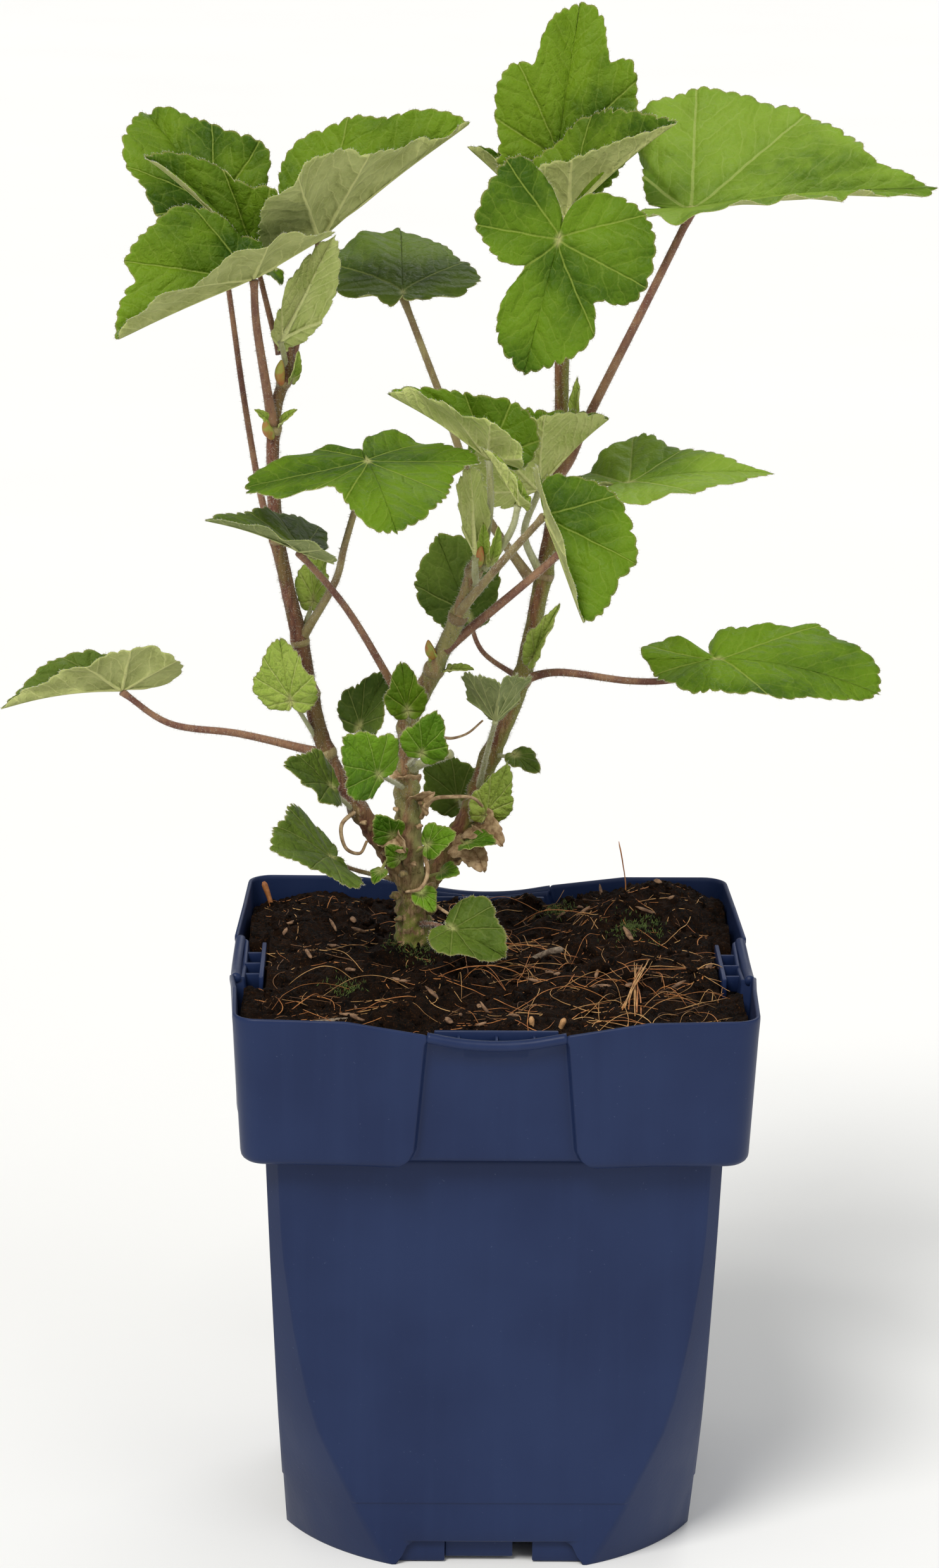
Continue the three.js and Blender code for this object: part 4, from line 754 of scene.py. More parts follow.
LEAVES = {
    "leaf_left_back": Leaf((-76.6, 26.2, 361.7), (-97, 44, 386), (0.1, -0.75, 0.5),
        [(-60, 5, 276), (-64, 10, 284), (-69, 17, 310), (-73, 22, 337)],
        {-145: 0.4, -98: 0.45, -75: 0.64, -46: 0.64, -25: 0.76, -8: 0.98, 0: 1, 12: 0.98, 28: 0.87, 50: 0.6,
         80: 0.5, 110: 0.5, 145: 0.4, 180: 0.12},
        thick=0.8, fold=(4, 17), bend=0.4, curl=(0.1, 0.2), relief=1.6, upper="leaf_deep"),
    "leaf_left_upper_right": Leaf((-49, 8, 356), (-8, 13, 387), (-0.35, -0.35, 0.85),
        [(-57, 4, 319), (-53, 6, 336)],
        {-140: 0.2, -110: 0.5, -86: 0.7, -67: 0.7, -40: 0.62, -20: 0.68, -8: 0.82, 0: 1, 14: 0.9, 24: 0.76,
         42: 0.7, 57: 0.63, 73: 0.54, 95: 0.3, 120: 0.18, 150: 0.12, 180: 0.08},
        thick=1, fold=(40, 57), relief=2.0, upper="leaf_deep"),
    "leaf_left_upper": Leaf((-65, 13, 349), (-96, 15.2, 377.2), (0.25, -0.35, 0.9),
        [(-59, 4, 326), (-62, 8, 336)],
        {-140: 0.14, -81: 0.2, -67: 0.43, -57: 0.53, -43: 0.52, -32: 0.58, -21: 0.74, -8: 0.94, 0: 1,
         12: 0.86, 30: 0.5, 60: 0.36, 100: 0.3, 145: 0.22, 180: 0.1},
        thick=0.8, fold=(15, 65), bend=0.4, relief=2.4, upper="leaf_deep"),
    "leaf_left_front": Leaf((-66, -5, 348), (-102, -16, 333), (-0.2, -0.8, 0.6),
        [(-61, 3, 307), (-65, -3, 334)],
        {-124: 0.27, -97: 0.35, -89: 0.48, -75: 0.69, -65: 0.74, -53: 0.78, -42: 0.84, -33: 0.87, -26: 0.8,
         -20: 0.87, -10: 0.95, 0: 1, 12: 0.85, 35: 0.7, 60: 0.66, 90: 0.62, 120: 0.62, 150: 0.6, 180: 0.15},
        thick=1.2, fold=(72, 20), bend=0.15, relief=1.7, upper="leaf_deep"),
    "leaf_middle_back": Leaf((-26, 28, 339), (-27, 72, 352), (0, -0.25, 0.97),
        [(10, 24, 260), (-4, 24, 281), (-15, 26, 310)],
        {-140: 0.15, -100: 0.2, -80: 0.4, -62: 0.6, -48: 0.64, -34: 0.7, -21: 0.82, 0: 0.9, 12: 0.88,
         30: 0.84, 48: 0.74, 64: 0.62, 80: 0.46, 100: 0.25, 140: 0.15, 180: 0.08},
        thick=1.1, fold=(-4, -4), curl=(-0.5, -0.35), relief=0.6, upper="leaf_dark", stem="stalk_olive"),
    "leaf_top": Leaf((16, 35, 375), (22, 45, 417), (-0.1, -0.93, 0.25),
        [(18, 27, 334), (17, 31, 345), (16, 33, 361)],
        {-150: 0.25, -110: 0.42, -80: 0.52, -56: 0.65, -48: 0.68, -39: 0.77, -31: 0.8, -26: 0.72, -20: 0.8,
         -11: 0.97, 0: 1, 12: 0.91, 19: 0.78, 25: 0.65, 36: 0.69, 50: 0.64, 60: 0.56, 80: 0.44, 110: 0.42,
         150: 0.25, 180: 0.1}, thick=1, bend=0.3, relief=2.2, upper="leaf_deep", stem="stalk_olive"),
    "leaf_top_cupped": Leaf((18, 20, 361), (47, 5, 389), (-0.3, -0.1, 0.95), [(18, 27, 336), (19, 22, 347)],
        {-150: 0.25, -115: 0.4, -90: 0.45, -60: 0.45, -41: 0.48, -21: 0.6, -6: 0.85, 0: 1, 12: 0.89, 22: 0.81,
         47: 0.66, 66: 0.52, 90: 0.46, 120: 0.4, 150: 0.25, 180: 0.1},
        thick=1, fold=(60, 62), relief=2.0, upper="leaf_deep"),
    "leaf_front_facing": Leaf((15, -15, 360), (6, -22, 325), (0, -0.97, 0.25),
        [(17, 26, 327), (16, 20, 334), (15, 3, 348)],
        {-160: 0.25, -148: 0.5, -140: 0.66, -130: 0.72, -115: 0.7, -99: 0.68, -87: 0.67, -72: 0.58, -58: 0.5,
         -41: 0.37, -32: 0.64, -21: 0.84, -10: 0.95, 0: 1, 8: 0.96, 36: 0.79, 49: 0.57, 60: 0.7, 70: 0.77,
         92: 0.76, 115: 0.71, 140: 0.54, 160: 0.33, 180: 0.1}, thick=1.1, fold=(6, 6)),
    # Upper side in the lighter copy: painted light
    "leaf_right_high": Leaf((52, 20, 364), (118, 12, 370), (0, -0.38, 0.93),
        [(14, 25, 286), (20, 25, 293), (26, 25, 307), (42, 22, 341)],
        {-150: 0.2, -110: 0.4, -85: 0.56, -60: 0.6, -40: 0.62, -24: 0.67, -16: 0.68, -8: 0.9, 0: 1, 6: 0.92,
         14: 0.76, 22: 0.74, 36: 0.67, 50: 0.64, 66: 0.61, 86: 0.62, 101: 0.59, 111: 0.54, 123: 0.34,
         150: 0.2, 180: 0.1}, thick=1.2, fold=(27, 25), bend=0.25, relief=0.7, upper="leaf_light"),
    "leaf_top_left_folded": Leaf((9, 44, 361), (-9, 42, 378), (-0.4, -0.2, 0.9),
        [(18, 28, 327), (11, 33, 338), (9, 40, 351)], thick=0.8, fold=(60, 60), width=0.6),
    "leaf_right_low": Leaf((61, 0, 243), (104, -12, 236), (0.1, -0.5, 0.88),
        [(7, 24, 231), (18, 18, 235), (38, 8, 235), (51, 3, 237)],
        {-172: 0.44, -141: 0.4, -115: 0.38, -90: 0.38, -60: 0.42, -40: 0.55, -25: 0.67, -10: 0.9, 0: 1,
         10: 0.99, 18: 0.94, 28: 0.79, 42: 0.71, 52: 0.58, 64: 0.42, 80: 0.33, 105: 0.28, 119: 0.22, 127: 0.1,
         136: 0.3, 147: 0.46, 163: 0.52}, thick=1, fold=(0, 0), bend=0.6, curl=(-0.1, -0.2), back=0),
    "leaf_left_low": Leaf((-102, -5, 235), (-134, -18, 233), (-0.1, -0.2, 0.97),
        [(-48, 8, 214), (-70, 5, 220), (-89, 0, 224)],
        {-150: 0.25, -110: 0.35, -81: 0.38, -63: 0.45, -41: 0.57, -25: 0.69, -8: 0.85, 0: 1, 6: 0.85,
         18: 0.62, 40: 0.5, 64: 0.45, 84: 0.46, 115: 0.52, 134: 0.53, 152: 0.51, 166: 0.38, 180: 0.1},
        thick=1, fold=(68, 35), bend=0.3, upper="leaf_dark"),
    "leaf_centre_broad": Leaf((-35, -25, 302), (-27, -58, 289), (0, -0.65, 0.8),
        [(-53, 7, 247), (-44, -5, 265), (-41, -14, 278)],
        {-155: 0.6, -130: 0.8, -112: 0.98, -100: 0.95, -88: 0.8, -75: 0.55, -58: 0.46, -35: 0.55, -15: 0.85,
         0: 1, 15: 0.92, 40: 0.78, 65: 0.7, 80: 0.84, 90: 0.88, 107: 0.8, 130: 0.75, 155: 0.6, 180: 0.15},
        thick=1, fold=(-12, -12), bend=0.4, curl=(0.1, 0.1), back=0, stem="stalk_olive"),
    # Its underside takes the paler young look as painted light, lifting an underside that lies in shade
    "leaf_centre_grey": Leaf((-2, -2, 299), (-30, 6, 315), (0.2, -0.35, 0.9), [(-4, -8, 273), (-2, -4, 286)],
        both_sides({0: 1, 25: 0.7, 50: 0.55, 80: 0.55, 110: 0.5, 150: 0.3, 180: 0.1}),
        thick=1, fold=(60, 60), relief=1.5, under="young_under", stem="stalk_young"),
    # Its underside takes the paler young look as painted light, lifting an underside that lies in shade
    "leaf_centre_folded": Leaf((11, 12, 288), (30, 6, 309), (-0.35, -0.05, 0.93),
        [(13, 25, 261), (8, 19, 274)],
        {-150: 0.4, -110: 0.7, -82: 0.82, -62: 0.8, -44: 0.81, -21: 0.89, 0: 1, 20: 0.85, 43: 0.76, 71: 0.88,
         91: 0.95, 115: 0.7, 150: 0.35, 180: 0.1},
        thick=1, fold=(65, 66), relief=1.4, under="young_under", stem="stalk_young"),
    "leaf_centre_right": Leaf((12, -35, 290), (22, -48, 264), (0.1, -0.92, 0.35),
        [(-11, -5, 256), (0, -20, 273)],
        {-150: 0.4, -110: 0.55, -60: 0.6, -20: 0.8, 0: 1, 11: 1.02, 30: 0.9, 45: 0.92, 58: 0.84, 72: 0.76,
         90: 0.66, 120: 0.48, 150: 0.38, 180: 0.1}, thick=1.1, fold=(6, 84), bend=0.15, stem="stalk_olive"),
    # Upper side in the lighter copy: painted light
    "leaf_right_middle": Leaf((36, 5, 291), (75, 0, 295), (0, -0.25, 0.97), [(-14, -3, 246), (15, -2, 271)],
        {-150: 0.25, -110: 0.42, -73: 0.55, -55: 0.62, -39: 0.66, -24: 0.76, -12: 0.86, 0: 1, 6: 0.82,
         23: 0.62, 54: 0.52, 73: 0.58, 88: 0.62, 104: 0.56, 119: 0.53, 152: 0.42, 180: 0.12},
        thick=1.1, fold=(8, 4), bend=0.35, upper="leaf_light"),
    "leaf_young_bright": Leaf((6, -12, 288), (-5, -14, 304), (0.6, -0.4, 0.6),
        [(-4, -8, 270), (1, -9, 276), (4, -11, 282)],
        both_sides({0: 1, 22: 0.55, 50: 0.3, 90: 0.22, 150: 0.12}),
        thick=1, fold=(60, 60), relief=1.8, young=True),
    "leaf_young_pleated": Leaf((-6, -13, 274), (-8, -16, 299), (0, 0.6, 0.7), [(-6, -8, 266)],
        both_sides({0: 1, 10: 0.97, 25: 0.8, 50: 0.3, 90: 0.12, 150: 0.08}),
        thick=1, fold=(50, 50), bend=0.1, relief=2.6, young=True),
    "leaf_left_shaded": Leaf((-53, -20, 277), (-78, -30, 287), (-0.1, -0.25, 0.95),
        [(-23, 5, 225), (-37, -5, 252), (-45, -12, 265)],
        {-145: 0.35, -130: 0.65, -118: 0.9, -105: 0.85, -94: 0.74, -70: 0.66, -47: 0.63, -28: 0.7, -10: 0.9,
         0: 1, 8: 0.8, 25: 0.55, 60: 0.5, 100: 0.5, 140: 0.35, 180: 0.1},
        thick=1, fold=(25, 8), bend=0.3, upper="leaf_dark", under="under_dark"),
    "leaf_centre_dark": Leaf((-7, 35, 247), (-16, 38, 270), (0, -0.95, 0.3), [(7, 24, 232), (-3, 30, 238)],
        {-130: 0.25, -90: 0.36, -71: 0.52, -55: 0.69, -25: 0.9, -10: 0.97, 0: 1, 10: 0.93, 23: 0.85, 40: 0.76,
         57: 0.62, 75: 0.46, 110: 0.3, 150: 0.2, 180: 0.1}, thick=0.7, fold=(5, 5), upper="leaf_dark"),
    "leaf_young_left": Leaf((-58.5, 0, 330), (-44, -2, 359), (0.35, 0.93, 0.1), [(-57, 3, 322)],
        both_sides({0: 1, 10: 0.88, 24: 0.66, 50: 0.34, 90: 0.19, 150: 0.1}),
        thick=0.8, fold=(28, 28), bend=0.15, relief=1.4, young=True),
    "leaf_on_soil": Leaf((-11.3, -2, 166.3), (4, -13, 161), (-0.1, -0.6, 0.8),
        [(-20, 14, 163), (-16, 5, 165.5)], thick=0.7, fold=(24, 20), bend=0.3, width=1.05, upper="leaf_dark"),
    "small_leaf_left_pale": Leaf((-56, 0, 231), (-59, -4, 250), (-0.3, -0.9, 0.2), [(-49, 8, 218)],
        bend=0.3, width=0.85, young=True),
    "small_leaf_notched": Leaf((-37, 10, 221), (-29, 10, 237), (-0.6, -0.7, 0.3), [(-26, 10, 208)],
        fold=(15, 15), width=0.9, upper="leaf_dark"),
    "small_leaf_grey_narrow": Leaf((-24, -3, 229), (-26, -6, 244), (0, -0.9, 0.3), [(-23, 6, 222)],
        thick=0.5, width=0.7),
    "small_leaf_round": Leaf((-32, -15, 214), (-42, -25, 227), (-0.1, -0.85, 0.5), [(-25, 9, 204)],
        width=0.95, upper="leaf_fresh"),
    "small_leaf_left_oval": Leaf((-45, -10, 209), (-58, -22, 218), (-0.1, -0.7, 0.7), [(-39, 11, 197)],
        bend=0.3, width=0.8, upper="leaf_dark"),
    "small_leaf_left_low": Leaf((-45, 0, 186), (-61, -20, 193), (-0.1, -0.7, 0.7),
        [(-27, 14, 176), (-38, 9, 180)],
        bend=0.4, width=1.05, upper="leaf_dark", under="under_dark", stem="stalk_olive"),
    "small_leaf_fan": Leaf((0, -8, 228), (1, -25, 242), (0, 0.5, 0.8), [(-4, 21, 200), (-2, 4, 215)],
        thick=0.8, fold=(45, 45), bend=0.1, width=1.05, under="under_dark"),
    "small_leaf_bright": Leaf((-20, -14, 220), (-16, -22, 234), (0, -0.95, 0.3), [(-24, 8, 210)],
        width=0.75, upper="leaf_fresh"),
    "small_leaf_left_high": Leaf((-50, 9, 257), (-48, 10, 275), (-0.3, -0.9, 0.3), [(-54, 7, 246)],
        thick=0.7, fold=(20, 20), width=0.55, young=True),
    "small_leaf_lance": Leaf((-2, 14, 195), (4, 8, 212), (0.2, -0.9, 0.3), [(-8, 19, 191)],
        width=0.6, young=True),
    "small_leaf_shaded": Leaf((-9, 32, 194), (-18, 36, 209), (0, -0.95, 0.3), [(-7, 20, 192)],
        width=0.85, upper="leaf_dark"),
    "small_leaf_tiny": Leaf((6, 14, 212), (13, 6, 209), (0.2, -0.8, 0.6), [(0, 22, 210)],
        thick=0.5, width=0.7, upper="leaf_dark"),
    "small_leaf_right_folded": Leaf((11, 16, 240), (18, 10, 257), (-0.4, -0.8, 0.2), [(10, 24, 238)],
        thick=0.8, fold=(45, 45), bend=0.1, width=0.45, young=True),
    "small_leaf_right_high": Leaf((22, 22, 307), (22, 20, 318), (-0.5, -0.8, 0.2), [(18, 28, 303)],
        fold=(35, 35), bend=0.1, width=0.4, young=True),
}


def rim_radius(rim, angle):
    """Radius of the outline at an angle: a smooth closed curve through the rim's points."""
    a, r = np.array(list(rim), float), np.array(list(rim.values()), float)
    a = np.concatenate([a[-2:] - 360, a, a[:2] + 360])
    r = np.concatenate([r[-2:], r, r[:2]])
    t = (np.degrees(angle) - a[2]) % 360 + a[2]
    k = np.clip(np.searchsorted(a, t, side="right") - 1, 1, len(a) - 3)
    h = a[k + 1] - a[k]
    u = (t - a[k]) / h
    m1 = (r[k + 1] - r[k - 1]) / (a[k + 1] - a[k - 1]) * h
    m2 = (r[k + 2] - r[k]) / (a[k + 2] - a[k]) * h
    level = r[k] * (2 * u ** 3 - 3 * u ** 2 + 1) + r[k + 1] * (3 * u ** 2 - 2 * u ** 3)
    return level + m1 * (u ** 3 - 2 * u ** 2 + u) + m2 * (u ** 3 - u ** 2)


def margin(leaf, pitch):
    """Angles at even steps along the margin, the share of the way round, and its length."""
    angle = np.radians(np.linspace(0, 360, 721))
    r = rim_radius(leaf.rim, angle) * leaf.size
    walk = walk_along(np.stack([r * np.cos(angle), r * np.sin(angle) * leaf.width], 1))
    count = int(np.clip(walk[-1] / pitch, 48, 300))
    share = np.arange(count) / count
    return np.interp(share * walk[-1], walk, angle), share, walk[-1]


def main_veins(rim):
    """Angles of the main veins: one to each lobe, and more where two lie far apart."""
    angles = np.arange(-180, 180, 2)
    r = rim_radius(rim, np.radians(angles))
    peaks = [0.0]
    for i, a in enumerate(angles):
        near = r[(np.arange(i - 7, i + 8)) % len(angles)]
        if r[i] >= near.max() - 1e-9 and min(abs(a - p) for p in peaks) > 22 and abs(a) < 165:
            peaks.append(float(a))
    peaks.sort()
    filled = []
    for a, b in zip(peaks, peaks[1:] + [peaks[0] + 360]):
        filled.append(a)
        extra = int((b - a) // 48)
        if b - a < 150 or extra < 1:
            filled += [a + (b - a) * (n + 1) / (extra + 1) for n in range(extra)]
        else:
            filled += [a + 42, b - 42]
    return np.radians(sorted(((v + 180) % 360) - 180 for v in filled))


def near_zero(angle):
    """The same angle between half a turn to the right and to the left."""
    return (angle + math.pi) % TURN - math.pi


def leaf_sheet(soup, leaf, rng, looks, pitch, teeth_pitch):
    """Both faces of a blade, with its scalloped margin, arched fields between veins and ribs below."""
    size = leaf.size
    theta, share, length = margin(leaf, pitch)
    count = len(theta)
    rings = int(np.clip(size / 1.9, 7, 24))
    f = ((np.arange(1, rings + 1) / rings) ** 0.9)[:, None]
    radius = rim_radius(leaf.rim, theta)
    teeth = max(10, round(length / teeth_pitch))

    def wave(times):
        return np.sin(TURN * share * times + rng.uniform(0, 6))

    # The margin: teeth of uneven width and depth, and none at the stalk
    jitter = 0.25 * wave(7) + rng.uniform(0, 3)
    tooth = np.abs(np.sin(math.pi * (teeth * share + jitter))) ** 0.6
    notch = min(1.35, 0.052 * size) * (0.75 + 0.5 * wave(5) ** 2)
    notch = notch * smoothstep(math.pi, math.pi - 0.7, np.abs(near_zero(theta)))
    reach = f * radius * (1 - notch * (1 - tooth) / (radius * size + 1) * f ** 9)
    x, y = reach * np.cos(theta), reach * np.sin(theta) * leaf.width

    # Fields that arch between the main veins, and a wavy margin
    veins = main_veins(leaf.rim)
    order = np.searchsorted(veins, near_zero(theta), side="right") - 1
    start = veins[order % len(veins)]
    gap = (veins[(order + 1) % len(veins)] - start) % TURN
    arch = np.abs(np.sin(math.pi * ((theta - start) % TURN) / gap)) * np.minimum(gap, 1.2)
    rise = 0.05 * arch * f * (1.2 - 0.6 * f) * leaf.relief
    rise = rise + 0.012 * f ** 3 * wave(teeth * 0.31) + 0.02 * f ** 2 * np.sin(5 * theta)
    rise = rise + 0.012 * f ** 5 * wave(11)

    # Upper and lower face, with ribs along the main veins below
    middle = leaf.place(x, y, rise)
    centre = leaf.place(*np.zeros((3, 1)))
    radial = np.gradient(np.concatenate([np.broadcast_to(centre, (1, count, 3)), middle]), axis=0)[1:]
    around = np.roll(middle, -1, axis=1) - np.roll(middle, 1, axis=1)
    normal = unit(np.cross(radial, around))
    up = unit(normal[0].mean(0))
    half = leaf.half * (1 - f ** 12)[..., None] + 0.05
    flat = np.stack([x, y], -1) * size
    off = np.abs(near_zero(theta[None] - start))
    off = np.minimum(off, np.abs(gap - off))
    off = np.linalg.norm(flat, axis=-1) * np.sin(np.minimum(off, QUARTER))
    spread_out = 0.5 + 0.35 * np.linalg.norm(around, axis=-1) / 2
    rib = 0.55 * np.exp(-(off / spread_out) ** 2) * (1 - 0.75 * f) * min(1.0, size / 30)
    above = middle + normal * half
    below = middle - normal * (half + rib[..., None])
    points = np.vstack([centre + up * 0.2, above.reshape(-1, 3), centre - up * 0.8, below.reshape(-1, 3)])

    # Faces: quads between rings, a fan at the joint, the same below, and the edge that joins both
    k, i = (v.ravel() for v in np.meshgrid(np.arange(rings - 1), np.arange(count), indexing="ij"))
    cells = 1 + np.arange(rings * count).reshape(rings, count)
    after = (i + 1) % count
    top = np.stack([cells[k, i], cells[k + 1, i], cells[k + 1, after], cells[k, after]], 1)
    column = np.arange(count)
    following = (column + 1) % count
    fan = np.stack([np.zeros(count, int), cells[0], cells[0, following]], 1)
    total = 1 + rings * count
    edge = np.stack([total + cells[-1], total + cells[-1, following], cells[-1, following], cells[-1]], 1)

    # Places for the materials: on the flat leaf, across and along the nearest vein, and from the margin
    nearest = theta + ((np.roll(theta, -1) - theta) % TURN) / 2
    nearest = veins[np.argmin(np.abs(near_zero(nearest[:, None] - veins[None])), axis=1)]
    ways = np.stack([np.cos(nearest), np.sin(nearest) * leaf.width], 1)
    ways = ways / np.linalg.norm(ways, axis=1, keepdims=True)
    spots = np.vstack([np.zeros((1, 2)), flat.reshape(-1, 2)])
    depths = np.concatenate([[radius.mean() * size], ((1 - f) * radius * size).ravel()])

    def places(faces, columns):
        at, way = spots[faces], ways[columns][:, None]
        across = way[..., 0] * at[..., 1] - way[..., 1] * at[..., 0]
        along = (way * at).sum(-1)
        rows = (at[..., 0], at[..., 1], across, along, depths[faces], np.full(faces.shape, size))
        return np.stack(rows, -1).reshape(-1, 6)

    under, under_fan = top[:, ::-1], fan[:, ::-1]
    rows = [(top, i), (fan, column), (under, i), (under_fan, column), (edge % total, column)]
    upper, lower = looks
    soup.add(points, [top, fan, under + total, under_fan + total, edge], [upper, upper, lower, lower, lower],
             np.vstack([places(*row) for row in rows]))
    return {"edge": middle[-1], "edge_out": unit(radial[-1]), "up": up}


def leaf_stalk(soup, leaf, up, look):
    """The stalk from the stem to the joint, a little below the blade's upper face."""
    end = leaf.joint - up * leaf.thick * 0.85
    path = smooth_path([*leaf.stalk, end.tolist()], 1.2)
    share = np.linspace(0, 1, len(path))
    radius = leaf.thick * (1.15 - 0.3 * share + 0.5 * np.exp(-share * 14) + 0.25 * smoothstep(0.93, 1, share))
    tube(soup, path, radius, 10, look)
    return path, radius


def hairs_on(soup, path, radius, rng, per_mm, length):
    """Short hairs all round a stalk or stem."""
    side, other = square_to(path)
    count = int(np.linalg.norm(np.diff(path, axis=0), axis=1).sum() * per_mm)
    index = rng.uniform(0, len(path) - 1.001, count)
    low = index.astype(int)
    part = (index - low)[:, None]
    turn = rng.uniform(0, TURN, count)[:, None]
    middle = path[low] * (1 - part) + path[low + 1] * part
    out = side[low] * np.cos(turn) + other[low] * np.sin(turn)
    r = np.interp(index, np.arange(len(path)), radius)[:, None]
    lean = rng.normal(0, 0.35, (count, 3))
    spikes(soup, middle + out * r, out + lean, rng.uniform(0.4, 1.0, count) * length, 0.05)


def margin_hairs(hairs, sheet, rng):
    """Three short hairs on each step of a blade's margin."""
    pick = np.repeat(np.arange(len(sheet["edge"])), 3)
    out = sheet["edge_out"][pick] + rng.normal(0, 0.45, (len(pick), 3))
    place = sheet["edge"][pick] + rng.normal(0, 0.12, (len(pick), 3))
    spikes(hairs, place, out, rng.uniform(0.25, 0.7, len(pick)), 0.045)


def build_leaves(hairs):
    for number, (name, leaf) in enumerate(LEAVES.items()):
        rng = np.random.default_rng(100 + number)
        small = name.startswith("small")
        upper, under = ("young_upper", "young_under") if leaf.young else (leaf.upper, leaf.under)
        stem = leaf.stem or ("stalk_young" if leaf.young or small else "stalk_brown")
        soup = Soup(upper, under, stem)
        pitch, teeth_pitch = (0.6, 2.6) if small else (0.8, 4)
        sheet = leaf_sheet(soup, leaf, rng, (upper, under), pitch, teeth_pitch)
        path, radius = leaf_stalk(soup, leaf, sheet["up"], stem)
        hairs_on(hairs, path, radius, rng, per_mm=11, length=0.9)
        margin_hairs(hairs, sheet, rng)
        soup.piece("fine_" + name, "young_leaf" if leaf.young else "leaf", name)


# Woody stems: points of each, radii spread along it, the heights of its nodes, and its look
FOOT_TOP = 212  # the knobby, mossy part of the stems ends here
STEMS = [
    ([(-21, 16, 84), (-21, 16, 118), (-21, 16, 149), (-22, 16, 161), (-22, 16, 174)],
     (1.6, 3.6, 5.4, 5, 4.3), (), "bark_middle"),
    ([(-22, 15, 171), (-31, 12, 187), (-41, 10, 203), (-48, 8, 219), (-53, 7, 243), (-57, 6, 261),
      (-60, 5, 277), (-61, 4, 298), (-60, 4, 312), (-57, 3, 322), (-57, 3, 333)],
     (2.9, 2.5, 2.2, 2.1, 1.9, 1.7, 1.4), (197, 214, 231, 246, 275, 306, 319), "bark_left"),
    ([(-22, 15, 171), (-23, 13, 187), (-24, 11, 202), (-24, 8, 216), (-23, 5, 226), (-18, 1, 237),
      (-13, -3, 249), (-9, -6, 260), (-6, -8, 270), (-4, -9, 275)],
     (3.6, 3.3, 3, 2.5, 2.2, 1.8), (186, 195, 203, 210, 222, 240, 256, 269), "bark_middle"),
    ([(-21, 16, 170), (-13, 18, 182), (-6, 20, 195), (-1, 22, 209), (5, 23, 223), (9, 24, 236),
      (12, 25, 252), (15, 26, 268), (17, 27, 284), (18, 28, 298), (18, 28, 312), (18, 28, 326),
      (18, 26, 339)],
     (3, 2.7, 2.5, 2.4, 2.2, 2, 1.8), (188, 200, 210, 232, 261, 286, 304, 327, 336), "bark_right"),
]
STUMP = [(-24, 9, 209), (-19, 2, 213), (-12, -4, 217)]
# Blades too small for a node of their own: joint, tip and upper side, and for sprouts the root on the stem
STIPULE_RIM = both_sides({0: 1, 20: 0.6, 50: 0.32, 90: 0.24, 150: 0.15})
STIPULES = [
    ((-61, 3, 307), (-66, -2, 312), (-0.4, -0.6, 0.5)),
    ((-59, 3, 307), (-54, -2, 312), (0.3, -0.6, 0.6)),
    ((-56, 3, 319), (-54, -2, 328), (0.5, -0.7, 0.2)),
    ((-16, 0, 241), (-18, -5, 248), (-0.3, -0.8, 0.3)),
    ((-13, -2, 240), (-6, -9, 242), (0.1, -0.6, 0.8)),
    ((-3, 20, 200), (-1, 15, 206), (0.1, -0.9, 0.3)),
    ((-4, -11, 273), (-4, -14, 284), (0, -0.9, 0.2)),
    ((-2, -10, 272), (0, -13, 283), (0.4, -0.8, 0.2)),
]
SPROUTS = [
    ((-18, 3, 189), (-10, -2, 194), (0.2, -0.8, 0.6), (-23, 14, 183)),
    ((-7, 8, 188), (1, 2, 190), (0.1, -0.5, 0.9), (-10, 19, 187)),
    ((-14, 7, 180), (-9, 2, 181), (0, -0.7, 0.7), (-20, 15, 176)),
    ((-26, 7, 184), (-30, 3, 189), (-0.3, -0.8, 0.5), (-29, 13, 183)),
    ((-31, 5, 181), (-33, 1, 178), (-0.3, -0.7, 0.7), (-29, 12, 183)),
    ((-20, 8, 174), (-16, 4, 169), (0.2, -0.9, 0.4), (-22, 14, 172)),
    ((-28, 7, 191), (-33, 2, 198), (-0.2, -0.9, 0.3), (-24, 13, 187)),
]
DRY_LEAVES = [
    ((-4, 16, 190), (3, 8, 187), (0.3, -0.7, 0.4)),
    ((-6, 15, 186), (-2, 6, 180), (0, -0.8, 0.5)),
    ((-9, 14, 182), (-1, 8, 183), (0.2, -0.6, 0.8)),
    ((-24, 10, 205), (-29, 4, 207), (-0.4, -0.7, 0.4)),
    ((-20, 10, 200), (-16, 5, 204), (0.2, -0.8, 0.4)),
    ((-28, 11, 190), (-24, 5, 186), (0, -0.9, 0.3)),
]
# Dry remains of old stalks round the base: points of each, and its radius
DRY_ARCS = [
    ([(-20, 10, 195), (-17, 3, 202), (-12, -1, 204), (-6, 2, 203), (-3, 8, 199)], 0.6),
    ([(-19, 11, 184), (-18, 7, 180), (-20, 5, 176), (-24, 8, 174)], 0.65),
    ([(-37, 9, 198), (-42, 6, 194), (-41, 4, 188), (-37, 5, 186), (-35, 7, 189)], 0.6),
    ([(-14, 2, 220), (-11, 6, 219), (-7, 12, 219), (-3, 18, 221)], 0.4),
    ([(-20, 12, 172), (-10, 3, 168), (-4, 4, 167)], 0.5),
]
